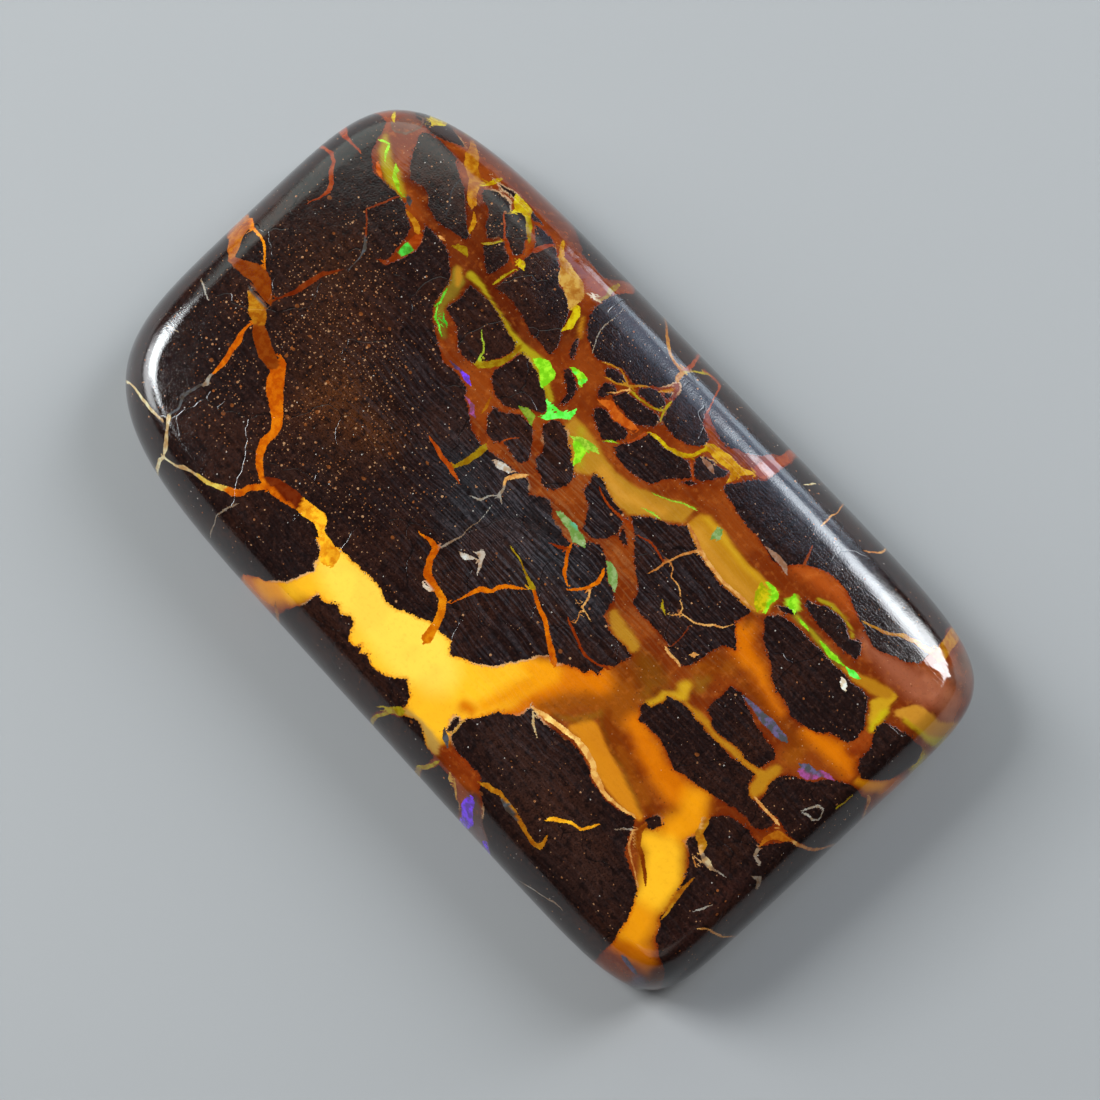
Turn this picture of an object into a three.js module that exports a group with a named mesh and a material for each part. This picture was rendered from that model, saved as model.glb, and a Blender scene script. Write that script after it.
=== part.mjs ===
// A boulder opal cabochon: one stone, dark ironstone with opal in its cracks, cut and polished whole.
// It lies on its flat back. Millimetres, +Z up, +X along the stone, origin in the middle of the back.
import * as THREE from 'three';
import { mergeVertices } from 'three/addons/utils/BufferGeometryUtils.js';

// Overall size
const LENGTH = 36.4;
const WIDTH = 20.6;
const THICKNESS = 5.4;

// The girdle is the widest line round the stone, a rectangle with rounded corners. Each corner was
// ground by hand and has its own squareness: 2 would be an ellipse, and more is a tighter corner.
const GIRDLE_HEIGHT = 1.6;
const SQUARENESS = { farLeft: 5.2, farRight: 8.2, nearRight: 9.6, nearLeft: 4.7 };

// The left end isn't quite square to the sides: it leans by this much in X for each millimetre in Y,
// and its outermost point is at the pivot.
const LEFT_END_SLANT = -0.06;
const SLANT_PIVOT = 3.7;

// The polished face is a low dome. It falls by this much from the middle to the ends and the sides,
// slowly at first and faster near the edge.
const FALL_TO_ENDS = 0.7;
const FALL_TO_SIDES = 0.9;
const END_POWER = 3;
const SIDE_POWER = 2.6;

// The shoulder rolls from the face down to the girdle. These are its widths seen from above.
const SHOULDER = { right: 1.4, left: 2.1, far: 2.4, near: 1.5 };

// Below the girdle the edge is rounded in towards the flat back.
const BACK_INSET = 0.8;

// Facets
const AROUND = 160;
const BACK_STEPS = 4;
const SHOULDER_STEPS = 8;
const FACE_RINGS = [0.92, 0.8, 0.6, 0.35];
const GIRDLE_SAMPLES = 4000;

const HALF_LENGTH = LENGTH / 2;
const HALF_WIDTH = WIDTH / 2;
const QUARTER_TURN = Math.PI / 2;

function squareness(toRight, toFar) {
  if (toRight) {
    return toFar ? SQUARENESS.farRight : SQUARENESS.nearRight;
  }
  return toFar ? SQUARENESS.farLeft : SQUARENESS.nearLeft;
}

class GirdleCurve extends THREE.Curve {
  getPoint(t, target = new THREE.Vector2()) {
    const c = Math.cos(2 * Math.PI * t);
    const s = Math.sin(2 * Math.PI * t);
    const power = squareness(c >= 0, s >= 0);
    const reach = (Math.abs(c) ** power + Math.abs(s) ** power) ** (-1 / power);
    const y = HALF_WIDTH * reach * s;
    const slant = LEFT_END_SLANT * (y - SLANT_PIVOT) * Math.max(0, -reach * c) ** 2;
    return target.set(HALF_LENGTH * reach * c + slant, y);
  }
}

function faceHeight(point) {
  const toEnds = Math.abs(point.x / HALF_LENGTH) ** END_POWER;
  const toSides = Math.abs(point.y / HALF_WIDTH) ** SIDE_POWER;
  return THICKNESS - FALL_TO_ENDS * toEnds - FALL_TO_SIDES * toSides;
}

// The shoulder's width in the direction that it faces, blended round the corners.
function shoulderWidth(outward) {
  const along = outward.x > 0 ? SHOULDER.right : SHOULDER.left;
  const across = outward.y > 0 ? SHOULDER.far : SHOULDER.near;
  return along * outward.x ** 2 + across * outward.y ** 2;
}

// Where the edge is cut upright: a place on the girdle, the way it faces, and its shoulder's start.
function sections() {
  const girdle = new GirdleCurve();
  girdle.arcLengthDivisions = GIRDLE_SAMPLES;
  return Array.from({ length: AROUND + 1 }, (_, k) => {
    const place = (k % AROUND) / AROUND;
    const rim = girdle.getPointAt(place);
    const tangent = girdle.getTangentAt(place);
    const outward = new THREE.Vector2(tangent.y, -tangent.x);
    const width = shoulderWidth(outward);
    const start = rim.clone().addScaledVector(outward, -width);
    return { rim, outward, width, start };
  });
}

// Each ring is a function of the section, listed from the middle of the back to the middle of the face.
function backRing(turn) {
  return ({ rim, outward }) => {
    const plan = rim.clone().addScaledVector(outward, -BACK_INSET * (1 - Math.cos(turn)));
    return new THREE.Vector3(plan.x, plan.y, GIRDLE_HEIGHT * (1 - Math.sin(turn)));
  };
}

function shoulderRing(turn) {
  return ({ rim, outward, width, start }) => {
    const plan = start.clone().addScaledVector(outward, width * Math.sin(turn));
    const drop = (faceHeight(rim) - GIRDLE_HEIGHT) * (1 - Math.cos(turn));
    return new THREE.Vector3(plan.x, plan.y, faceHeight(plan) - drop);
  };
}

function faceRing(share) {
  return ({ start }) => {
    const plan = start.clone().multiplyScalar(share);
    return new THREE.Vector3(plan.x, plan.y, faceHeight(plan));
  };
}

function steps(count) {
  return Array.from({ length: count }, (_, k) => QUARTER_TURN * (1 - k / count));
}

const rings = [
  () => new THREE.Vector3(0, 0, 0),
  ...steps(BACK_STEPS).map(backRing),
  ...steps(SHOULDER_STEPS).map(shoulderRing),
  ...[1, ...FACE_RINGS].map(faceRing),
  () => new THREE.Vector3(0, 0, THICKNESS),
];

// A lathe turns the rings as a plain round stone, and its uv says which section and ring each vertex
// belongs to, so every vertex then moves to its place on the real outline.
function cabochon() {
  const profile = rings.map((_, k) => new THREE.Vector2(Math.sin((Math.PI * k) / (rings.length - 1)), k));
  const geometry = new THREE.LatheGeometry(profile, AROUND);
  const { position, uv } = geometry.attributes;
  const cuts = sections();
  for (let k = 0; k < position.count; k += 1) {
    const section = cuts[Math.round(uv.getX(k) * AROUND)];
    const ring = rings[Math.round(uv.getY(k) * (rings.length - 1))];
    const place = ring(section);
    position.setXYZ(k, place.x, place.y, place.z);
  }
  geometry.deleteAttribute('normal');
  geometry.deleteAttribute('uv');
  return withoutSlivers(mergeVertices(geometry));
}

// The lathe leaves triangles of no area where a ring is a single point.
function withoutSlivers(geometry) {
  const corners = geometry.index.array;
  const kept = [];
  for (let k = 0; k < corners.length; k += 3) {
    const [a, b, c] = corners.subarray(k, k + 3);
    if (a !== b && b !== c && c !== a) {
      kept.push(a, b, c);
    }
  }
  geometry.setIndex(kept);
  geometry.computeVertexNormals();
  return geometry;
}

const polishedStone = new THREE.MeshStandardMaterial({ color: 0x38241b, roughness: 0.12, metalness: 0 });

const stone = new THREE.Mesh(cabochon(), polishedStone);
stone.name = 'boulder_opal_cabochon';

const part = new THREE.Group();
part.add(stone);

export default part;
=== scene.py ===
import math

import bpy
import numpy as np
from mathutils import Matrix, Vector


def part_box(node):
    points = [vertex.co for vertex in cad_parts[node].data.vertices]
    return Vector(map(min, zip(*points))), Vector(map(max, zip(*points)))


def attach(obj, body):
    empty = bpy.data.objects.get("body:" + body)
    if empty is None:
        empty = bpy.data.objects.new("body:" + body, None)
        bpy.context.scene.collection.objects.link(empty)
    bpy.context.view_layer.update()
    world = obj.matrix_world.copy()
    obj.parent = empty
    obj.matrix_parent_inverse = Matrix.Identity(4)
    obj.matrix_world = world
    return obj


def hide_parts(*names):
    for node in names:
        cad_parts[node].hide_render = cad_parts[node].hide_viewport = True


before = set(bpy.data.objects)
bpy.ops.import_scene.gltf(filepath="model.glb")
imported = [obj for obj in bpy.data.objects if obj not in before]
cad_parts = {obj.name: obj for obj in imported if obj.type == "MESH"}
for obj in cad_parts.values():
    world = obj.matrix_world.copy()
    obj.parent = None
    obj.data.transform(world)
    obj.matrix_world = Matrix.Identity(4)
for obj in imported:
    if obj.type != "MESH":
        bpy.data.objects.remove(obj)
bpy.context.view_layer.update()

MM = 0.001
NODE = "boulder_opal_cabochon"

# The stone's size, from the frame, in millimetres
LOW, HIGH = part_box(NODE)
HALF_LENGTH = (HIGH.x - LOW.x) / 2 / MM
HALF_WIDTH = (HIGH.y - LOW.y) / 2 / MM
THICKNESS = (HIGH.z - LOW.z) / MM

# The girdle is a rectangle with rounded corners, each with its own squareness. The left end leans.
GIRDLE_HEIGHT = 1.6
FAR_LEFT, FAR_RIGHT, NEAR_RIGHT, NEAR_LEFT = 5.2, 8.2, 9.6, 4.7
LEFT_END_SLANT = -0.06
SLANT_PIVOT = 3.7

# The face is a low dome, the shoulder rolls down to the girdle, and the edge is rounded in to the back.
FALL_TO_ENDS, END_POWER = 0.7, 3.0
FALL_TO_SIDES, SIDE_POWER = 0.9, 2.6
SHOULDER_RIGHT, SHOULDER_LEFT, SHOULDER_FAR, SHOULDER_NEAR = 1.4, 2.1, 2.4, 1.5
BACK_INSET = 0.8

# The mesh is a grid of square rings: over the face, down the shoulder and round to the back.
FACE_STEPS_LONG = 164
FACE_STEPS_WIDE = 84
SHOULDER_STEPS = 26
BACK_STEPS = 6
BACK_SHARES = [0.85, 0.6, 0.3]

# About how far each part of the skin reaches when it is rolled out flat, to share out the grid's lines
FACE_MARGIN_LONG = 1.7
FACE_MARGIN_WIDE = 1.9
SHOULDER_REACH = 3.9
BACK_REACH = 2.0

# The photograph's camera: focal length in mm on a 36 mm sensor, and its place round the stone
LENS = 90.0
SENSOR = 36.0
AZIMUTH = math.radians(47.6)
ELEVATION = math.radians(77.0)
DISTANCE = 113.0
TARGET = Vector((1.57, -0.15, 2.8))

# Softboxes round the stone: the azimuth and elevation of their middle and their width and height, in
# degrees, their brightness, and their tint
LIGHT_DISTANCE = 0.5
LIGHTS = [
    ("far right", 90, 38, 14, 18, 13.0, (0.86, 0.94, 1.0)),
    ("far right high", 77, 35, 16, 42, 19.0, (0.93, 0.97, 1.0)),
    ("far low", 99, 10, 12, 12, 7.0, (0.7, 0.85, 1.0)),
    ("far high", 99, 38, 16, 42, 2.6, (0.55, 0.72, 1.0)),
    ("far left", 148, 28, 50, 54, 1.8, (0.84, 1.0, 0.96)),
    ("left", 212, 20, 34, 24, 9.0, (0.95, 0.98, 1.0)),
    ("left high", 202, 40, 20, 28, 33.0, (0.92, 0.97, 1.0)),
    ("front", 318, 45, 30, 30, 0.6, (1.0, 0.96, 0.9)),
]
ROOM_TINT = (0.9, 0.95, 1.0, 1)
ROOM_STRENGTH = 0.02
FLOOR_REACH = 2.0
FLOOR_ROUGHNESS = 0.7

# The material: how much of its light each colour keeps, the polish, and the size of its unevenness
TONE = 0.53
POLISH = 0.07
STONE_POLISH_LOSS = 0.02
WEAR_POLISH_LOSS = 0.04
CRUST_POLISH_LOSS = 0.2
BACK_POLISH_LOSS = 0.5
REFRACTION = 1.52
BUMP_STRENGTH = 0.6
CRACK_HEIGHT = -0.005
GRAIN_HEIGHT = 0.006
SWELL_HEIGHT = 0.03
LINE_HEIGHT = 0.0016
BACK_GRAIN_HEIGHT = 0.06

# How the drawing is laid on the skin, in millimetres: how far its edges wander, how far the distances to
# outlines and to strokes are followed, how soft a patch's edge is, and how low the flat
# back lies
RAGGEDNESS = 0.09
OUTLINE_REACH = 1.0
STROKE_REACH = 0.4
PATCH_EDGE = 0.15
BACK_LEVEL = 0.02

# Where polishing lines and specks are strong: how strong, the middle's x and y, and the reach in x and y
# The first list gives where the polishing lines are painted pale, as a sheen of reflected light
BRUSHED_SHEEN = [(1, 1, -0.8, 4.5, 3.6), (0.3, -7.5, 0, 3.5, 3.5), (0.4, 7, 2, 6, 4), (0.35, 6, -6, 4, 2)]
BRUSHED_SHEEN_RANGE = (0.1, 1)
SPECKLED = [
    (1.2, -10.5, -1.5, 4.5, 5), (0.35, -4, -4.5, 3, 3), (0.15, 8, -7, 3.5, 2.5), (0.4, -7, 7.5, 6, 2),
]
SPECKLED_RANGE = (0.09, 1.1)

# Clouds that the material reads: the size of the largest ones and the seed
CLOUDS = [(2.4, 31), (1.3, 41), (4.5, 51)]

# Smooth noise has this many random heights each way. Clouds are layers of it, each fainter and finer.
NOISE_CELLS = 256
CLOUD_LAYERS = 4
CLOUD_FADE = 0.6
CLOUD_SUM = 1.4

# Mottling of the ironstone and of the back: the noise, where it starts and is full, its share, its colour
STONE_MOTTLING = [
    ("broad", 0.4, 0.8, 0.45, "mottle_red"),
    ("jagged", 0.5, 0.75, 0.5, "mottle_brown"),
    ("medium", 0.54, 0.3, 0.8, "mottle_dark"),
    ("fine", 0.5, 0.3, 0.8, "mottle_black"),
]
BACK_MOTTLING = [
    ("patches", 0.52, 0.62, 0.7, "back_rust"),
    ("medium", 0.6, 0.3, 0.5, "back_pits"),
]

# Everything below is drawn on the skin rolled out flat, in millimetres from the middle of the face:
# x along the stone and y across it. Over the shoulder, y and x go on as lengths down its curve.

# Colours, as they look, out of 255
COLOURS = {
    # The first colour is the amber's paler middle: partly its own yellow, partly a painted glow of light
    # through the opal
    "butter_glow": (255, 210, 74),
    "amber": (255, 186, 34),
    "honey": (236, 148, 12),
    "orange": (212, 112, 4),
    "copper": (166, 94, 16),
    "burnt": (142, 70, 10),
    "umber": (136, 82, 16),
    "sheet": (205, 125, 22),
    "rust": (150, 62, 14),
    "dark_rust": (118, 46, 10),
    "brick": (132, 56, 13),
    "rose": (116, 72, 56),
    "ember": (100, 38, 9),
    "bronze": (124, 100, 26),
    "flame": (190, 94, 30),
    "salmon": (168, 100, 70),
    "dusty": (104, 72, 56),
    "ochre": (170, 117, 28),
    "gold": (178, 119, 22),
    "gold_bright": (200, 152, 26),
    "amber_tan": (190, 146, 66),
    "orange_band": (188, 90, 22),
    "tan": (214, 158, 88),
    "peach": (255, 212, 122),
    "apricot": (196, 134, 40),
    "olive": (160, 140, 20),
    "olive_green": (132, 150, 44),
    "lemon": (198, 176, 16),
    "lemon_pale": (226, 204, 96),
    "lime": (156, 224, 40),
    "lime_thin": (160, 194, 56),
    "neon": (112, 250, 92),
    "neon_thin": (110, 210, 60),
    "green": (74, 190, 60),
    "mint": (138, 160, 100),
    "aqua": (122, 190, 178),
    "indigo": (102, 88, 122),
    "violet": (92, 60, 116),
    "violet_bright": (128, 66, 255),
    "magenta": (156, 74, 134),
    "lilac": (112, 96, 116),
    "mauve": (98, 80, 80),
    "slate": (78, 80, 84),
    "grey": (150, 144, 134),
    "silver": (200, 198, 190),
    "flint": (150, 118, 100),
    "pale": (216, 206, 164),
    "white": (232, 232, 220),
    "ironstone": (33, 17, 14),
    "umber_cloud": (60, 32, 18),
    "foxy_cloud": (92, 48, 18),
    # Slate is partly the ironstone's own tone, partly a painted faint reflection over the middle of the face
    "slate_sheen_cloud": (38, 38, 40),
    "near_cloud": (60, 36, 28),
    "end_cloud": (58, 30, 24),
    "mottle_red": (62, 32, 20),
    "mottle_brown": (74, 45, 34),
    "mottle_dark": (20, 11, 10),
    "mottle_black": (12, 7, 7),
    # The pale polishing line is a painted sheen; the dark one lies between such lines
    "line_sheen": (104, 102, 108),
    "line_dark": (12, 9, 11),
    "speck_rust": (150, 84, 40),
    "speck_tan": (186, 140, 100),
    "speck_large": (150, 82, 34),
    "speck_white": (190, 182, 172),
    "crack": (14, 8, 8),
    "opal_shade": (196, 152, 130),
    "opal_bloom": (196, 106, 36),
    # Painted shade, laid over the opal along its edges
    "opal_edge_shade": (226, 176, 120),
    # A faint painted sheen on the polishing lines over the opal
    "opal_line_sheen": (255, 226, 150),
    "opal_pits": (120, 60, 10),
    "opal_dust": (216, 166, 120),
    "opal_grit": (70, 34, 16),
    "opal_stain": (100, 46, 16),
    "crust": (206, 166, 118),
    "flash_shade": (190, 215, 160),
    "vein_shade": (228, 200, 172),
    "vein_deep": (210, 172, 140),
    "back_dark": (84, 62, 52),
    "back_pale": (132, 108, 92),
    "back_rust": (156, 98, 54),
    "back_pits": (60, 44, 36),
    "back_seam": (218, 140, 52),
    "back_line": (170, 150, 132),
    "floor": (116, 116, 116),
}

# Fragments of ironstone, as outlines
IRONSTONE = {
    "left_mass": [
        (-23, 7.6), (-17.6, 7.3), (-16.6, 7), (-16.25, 6.6), (-15.95, 5.9), (-15.6, 5.4), (-15, 5),
        (-13.8, 5.05), (-13, 5.05), (-12.6, 4.75), (-12.1, 4.45), (-11.9, 4.2), (-11.75, 3.6), (-11.65, 3),
        (-11.55, 2.6), (-11.3, 2.9), (-11.2, 3.4), (-11.1, 4), (-11.3, 4.5), (-11.7, 5), (-11.2, 5.1),
        (-10.5, 5), (-10.1, 4.85), (-9.7, 4.5), (-9.3, 4.2), (-9.1, 3.9), (-9, 3.3), (-8.8, 2.8),
        (-8.3, 2.4), (-7.8, 2.1), (-7.2, 1.8), (-6.7, 1.5), (-6.2, 1.65), (-5.6, 1.6), (-5.2, 1.5),
        (-5, 1.2), (-4.6, 1), (-4.2, 0.7), (-3.86, 0.45), (-3.3, 0.36), (-2.7, 0.4), (-2.2, 0.5),
        (-1.6, 0.6), (-1.05, 0.68), (-0.7, 0.73), (-0.3, 0.35), (0.23, 0.77), (0.45, 0.86), (0.86, 0.68),
        (1.1, 0.42), (1.86, 0.27), (2.4, 0.27), (2.7, 0.4), (2.8, 0.8), (3.2, 1.06), (3.7, 0.9),
        (4.05, 0.68), (4.4, 0.4), (4.86, 0.18), (5.2, -0.1), (5.27, -0.5), (5.4, -0.8), (5.8, -0.86),
        (6.05, -1.06), (6.7, -1.03), (7.36, -1.06), (7.3, -1.4), (7.15, -1.86), (6.9, -2.25), (7, -2.6),
        (6.65, -2.7), (6.7, -2.97), (6.2, -3), (5.8, -3.2), (5.57, -3.5), (5.18, -3.45), (4.86, -3.77),
        (4.7, -4.2), (4.4, -4.7), (4.1, -5.25), (3.6, -5.7), (3.3, -5.95), (2.85, -6.15), (2.45, -6.35),
        (2.1, -5.9), (1.5, -5.95), (0.95, -6), (0.4, -6.3), (-0.05, -6.4), (-0.4, -6.7), (-0.9, -6.77),
        (-1.4, -6.6), (-2.2, -6.55), (-3, -6.64), (-3.8, -6.7), (-4.1, -6.87), (-4.6, -6.75), (-4.8, -7.1),
        (-4.4, -7.3), (-4.1, -7.5), (-4.1, -7.8), (-3.85, -8.05), (-4, -8.4), (-4.2, -9), (-4.3, -9.35),
        (-4.8, -10), (-5.1, -10.45), (-5.5, -10.6), (-6, -11.1), (-6.2, -11.5), (-6.5, -14), (-22, -14)],
    "near_left": [
        (-3, -8.55), (-2.6, -8.6), (-2.1, -8.2), (-1.9, -8.45), (-1.4, -8.23), (-1.2, -8.3), (-0.95, -8.7),
        (-0.73, -9), (-0.45, -8.95), (-0.3, -8.64), (-0.14, -9), (0.1, -8.7), (0.6, -9.05), (0.95, -8.9),
        (1.3, -8.77), (1.55, -8.64), (1.77, -8.4), (1.97, -8.23), (2.2, -8.5), (2.55, -8.7), (2.77, -9.14),
        (2.5, -9.6), (2.2, -10.1), (2, -10.6), (1.86, -11.2), (1.77, -11.8), (1.6, -14), (-4.9, -14),
        (-4.3, -12.2), (-4.05, -11.5), (-3.77, -10.95), (-3.5, -10.4), (-3.14, -9.5), (-3.1, -8.95)],
    "near_middle": [
        (2.95, -9.6), (3.3, -9.27), (3.7, -9.23), (4, -9.45), (4.4, -9.8), (4.95, -9.95), (4.86, -10.5),
        (4.7, -11.1), (4.5, -11.8), (4.4, -14), (2.05, -14), (2, -11.9), (2.15, -10.9), (2.45, -10.2),
        (2.8, -9.9)],
    "near_wedge": [
        (5.3, -10.05), (5.86, -10), (6.05, -10.27), (6.4, -10.4), (6.7, -10.6), (6.95, -10.8), (7.1, -11.3),
        (7.2, -12.2), (7.2, -14), (4.8, -14), (4.8, -11.7), (5, -10.9), (5.2, -10.4)],
    "near_right": [
        (6.3, -5.36), (6.7, -5.42), (7.1, -5.4), (7.6, -5.3), (8.05, -5.22), (8.7, -5.17), (9.1, -5.2),
        (9.7, -5.38), (10.05, -5.6), (10.7, -5.72), (11.2, -5.66), (11.7, -5.47), (12.2, -5.35),
        (12.45, -5.7), (12.55, -6.1), (13, -6.55), (13.45, -6.77), (13.95, -6.94), (14.3, -7.2),
        (14.6, -7.6), (14.8, -8.1), (15, -8.6), (15.14, -9.1), (15.14, -9.86), (15.2, -10.5), (15.3, -11.1),
        (15.27, -11.8), (15.2, -14), (9.15, -14), (9.05, -12.4), (8.95, -11.6), (8.7, -11), (8.2, -10.5),
        (7.95, -9.95), (7.6, -9.55), (7.2, -9.25), (7.05, -8.86), (6.86, -8.7), (6.5, -8.66), (5.7, -8.7),
        (5.2, -8.6), (4.86, -8.5), (4.77, -8.2), (4.8, -7.86), (4.86, -7.5), (5.14, -7.14), (5.27, -6.86),
        (5.4, -6.5), (5.8, -6.27), (6.14, -5.95), (6.2, -5.6)],
    "right_near": [
        (14.4, -2.75), (14.2, -3.05), (14.15, -3.4), (14.4, -3.75), (14.3, -4.2), (14.2, -4.5),
        (14.6, -4.64), (15.05, -5.05), (15.2, -5.4), (15.4, -5.86), (15.55, -6.3), (15.7, -6.86),
        (15.7, -7.2), (15.95, -7.4), (16.14, -7.8), (16.4, -8), (16.86, -8.27), (17.4, -8.4), (17.8, -8.7),
        (18.2, -9), (18.6, -9.4), (19.2, -9.8), (21.5, -11.2), (23, -5), (23, 0.4), (20.5, 0.15),
        (19.7, -0.1), (19.1, -0.65), (18.6, -1), (18.05, -1.25), (17.5, -1.4), (16.9, -1.55), (16.6, -1.95),
        (16.4, -2.4), (16, -2.38), (15.6, -2.3), (15.1, -2.36), (14.7, -2.5)],
    "right_middle": [
        (15, 0.23), (15.5, 0.6), (15.95, 0.86), (16.14, 1.3), (16.7, 1.77), (17.3, 1.95), (18.05, 2),
        (18.8, 2.1), (19.3, 1.85), (20.3, 1.6), (23, 1.5), (23, 0.6), (20.4, 0.3), (19.6, 0), (19.1, -0.5),
        (18.7, -0.8), (18.05, -1.08), (17.5, -1.2), (16.95, -1.3), (16.05, -1.2), (15.5, -1.27),
        (15.05, -1.2), (14.95, -0.86), (14.8, -0.4), (14.86, -0.05)],
    "strip": [
        (9.55, -1.05), (9.86, -0.95), (10.3, -0.86), (10.8, -0.9), (11.5, -0.95), (12.4, -0.9),
        (13.05, -0.93), (13.36, -0.73), (14.1, -0.68), (14.2, -1.05), (14.5, -1.4), (15.05, -1.4),
        (16.05, -1.42), (16.1, -1.6), (15.86, -1.95), (15.5, -2.1), (15.14, -2.03), (14.7, -2.1),
        (14.1, -2.3), (13.5, -2.5), (12.7, -2.64), (12.2, -2.8), (11.8, -2.95), (11.4, -2.72),
        (11.05, -2.6), (10.4, -2.5), (9.86, -2.5), (9.4, -2.58), (9.3, -2.35), (9.1, -2.2), (9.14, -2),
        (9.4, -1.86), (9.57, -1.5)],
    "bar": [
        (10.9, 1.05), (11.4, 1.2), (11.9, 1), (12.5, 0.83), (13.3, 0.64), (13.95, 0.55), (14.2, 0.4),
        (14.1, -0.3), (13.8, -0.4), (13.3, -0.45), (12.4, -0.55), (11.5, -0.62), (11.3, -0.4),
        (10.95, -0.3), (10.9, 0.14), (10.98, 0.6)],
    "right_far": [
        (9.86, 4.05), (10.05, 4.35), (10.3, 4.52), (10.8, 4.6), (11.3, 4.6), (11.86, 4.66), (12.5, 4.7),
        (13.3, 4.68), (14.05, 4.7), (14.5, 4.82), (14.95, 4.9), (15.14, 4.6), (15.4, 4.25), (15.7, 3.95),
        (15.8, 3.4), (15.7, 2.95), (15.3, 2.8), (14.86, 2.64), (14.6, 2.3), (14.05, 2.1), (13.4, 1.95),
        (12.86, 2.2), (12.2, 2.3), (11.8, 2.5), (11.5, 2.7), (10.95, 3.05), (10.4, 3.3), (10.1, 3.6),
        (9.86, 3.8)],
    "right_end": [
        (15.95, 4.6), (16.6, 4.86), (17.4, 5), (18.05, 5.1), (18.75, 5.22), (19.3, 4.9), (19.2, 4.4),
        (19.05, 3.9), (18.8, 3.4), (18.3, 3), (17.8, 2.7), (17.3, 2.4), (16.7, 2.55), (16.45, 2.8),
        (16.48, 3.5), (16.2, 3.95), (15.98, 4.3)],
    "lens": [
        (10.4, 5.73), (10.8, 5.9), (11.2, 6.14), (11.7, 6.22), (12.1, 6.18), (12.5, 6), (12.86, 5.86),
        (13.1, 6.2), (13.5, 5.8), (13.45, 5.5), (12.86, 5.36), (12.2, 5.3), (11.5, 5.34), (11, 5.4),
        (10.5, 5.48)],
    "far_right": [
        (4.7, 6.5), (5.14, 7.1), (5.45, 7.6), (5.7, 7.9), (5.77, 8.7), (5.77, 9.6), (5.6, 11), (5.4, 14),
        (15.3, 14), (15.1, 11.5), (15, 9.8), (15.2, 9), (15.3, 8.2), (15.2, 7.3), (14.8, 6.95), (14, 6.55),
        (13.6, 6.45), (13.1, 6.55), (12.4, 6.72), (12, 6.86), (11.6, 7.05), (11.2, 7.2), (10.6, 7.2),
        (10.1, 7.1), (9.8, 6.95), (9.4, 6.7), (9.15, 6.5), (8.95, 6.15), (8.7, 5.95), (8.4, 5.8),
        (7.86, 5.94), (7.1, 6), (6.5, 6.05), (5.95, 6.1), (5.3, 6.2), (4.86, 6.38)],
    "far_middle": [
        (-4.5, 14), (-4.35, 11), (-4, 10), (-4.2, 9.3), (-4.4, 8.5), (-4.35, 7.8), (-4.2, 7.4),
        (-3.86, 6.95), (-3.5, 6.6), (-3.1, 6.45), (-2.7, 6.3), (-2.4, 6.42), (-1.95, 6.68), (-1.5, 6.78),
        (-1.05, 6.66), (-0.77, 6.72), (-0.5, 6.98), (-0.14, 7.4), (0.14, 7.8), (0.2, 8.15), (0.4, 8.27),
        (0.73, 7.95), (0.8, 7.4), (0.88, 6.95), (1.05, 6.5), (1.3, 6.45), (1.86, 6.4), (2.4, 6.55),
        (2.77, 6.77), (2.95, 7.05), (2.86, 7.36), (2.5, 7.55), (2.2, 7.7), (1.95, 8.05), (2.1, 8.2),
        (2.4, 7.97), (2.77, 7.8), (3.3, 7.7), (3.77, 7.8), (4.05, 8.05), (4.5, 8.2), (4.8, 8.6), (4.95, 9),
        (5.2, 9.5), (5.3, 10.4), (5.2, 14)],
    "sliver": [
        (-2.15, 6.35), (-1.85, 6.55), (-1.4, 6.6), (-1.15, 6.45), (-1.3, 6.25), (-1.7, 6.12), (-2, 6.2)],
    "tooth": [
        (-0.3, 7.05), (0.05, 7.32), (0.4, 7.22), (0.68, 7.05), (0.75, 6.8), (0.55, 6.63), (0.05, 6.58),
        (-0.5, 6.52), (-0.6, 6.7)],
    "crumb": [(0.28, 7.5), (0.52, 7.62), (0.66, 7.35), (0.45, 7.28)],
    "bow": [
        (-0.77, 6.2), (-0.4, 6.3), (0.23, 6.36), (0.7, 6.46), (1, 6.4), (1.03, 6.05), (0.77, 5.82),
        (0.5, 5.57), (0.05, 5.53), (-0.5, 5.62), (-0.86, 5.6), (-1.02, 5.75), (-0.9, 5.95)],
    "chip": [
        (-1.62, 5.95), (-1.3, 6.1), (-1.02, 5.95), (-1.2, 5.55), (-1.38, 5.2), (-1.6, 5.35), (-1.66, 5.7)],
    "saddle": [
        (-1.14, 4.95), (-0.7, 5.1), (-0.23, 5), (0.3, 5.1), (0.6, 5.05), (0.62, 4.75), (0.45, 4.45),
        (0.23, 4.3), (0.05, 4.12), (-0.4, 4.27), (-0.77, 4.5), (-1.1, 4.72)],
    "plate": [
        (1.05, 5.7), (1.4, 5.82), (1.86, 5.78), (2.3, 5.88), (2.7, 6.05), (3.05, 6.12), (3.4, 5.92),
        (3.68, 5.68), (3.45, 5.4), (3.14, 5.1), (2.86, 4.7), (2.7, 4.27), (2.23, 4.1), (1.5, 4.05),
        (0.95, 4.1), (0.62, 4.2), (0.75, 4.6), (0.95, 4.95), (0.98, 5.4)],
    "step": [
        (3.14, 6.4), (3.3, 6.7), (3.7, 6.82), (4.14, 6.86), (4.45, 7.08), (4.36, 6.6), (4.2, 6.2),
        (4.05, 5.88), (3.72, 5.84), (3.4, 6.1)],
    "splinter": [(3.5, 5.2), (3.75, 5.6), (4.02, 5.72), (3.9, 5.42)],
    "needle": [(-3.97, 6.5), (-3.7, 6.3), (-3.42, 5.85), (-3.3, 5.5), (-3.52, 5.6), (-3.8, 6.05)],
    "hook": [
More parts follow.
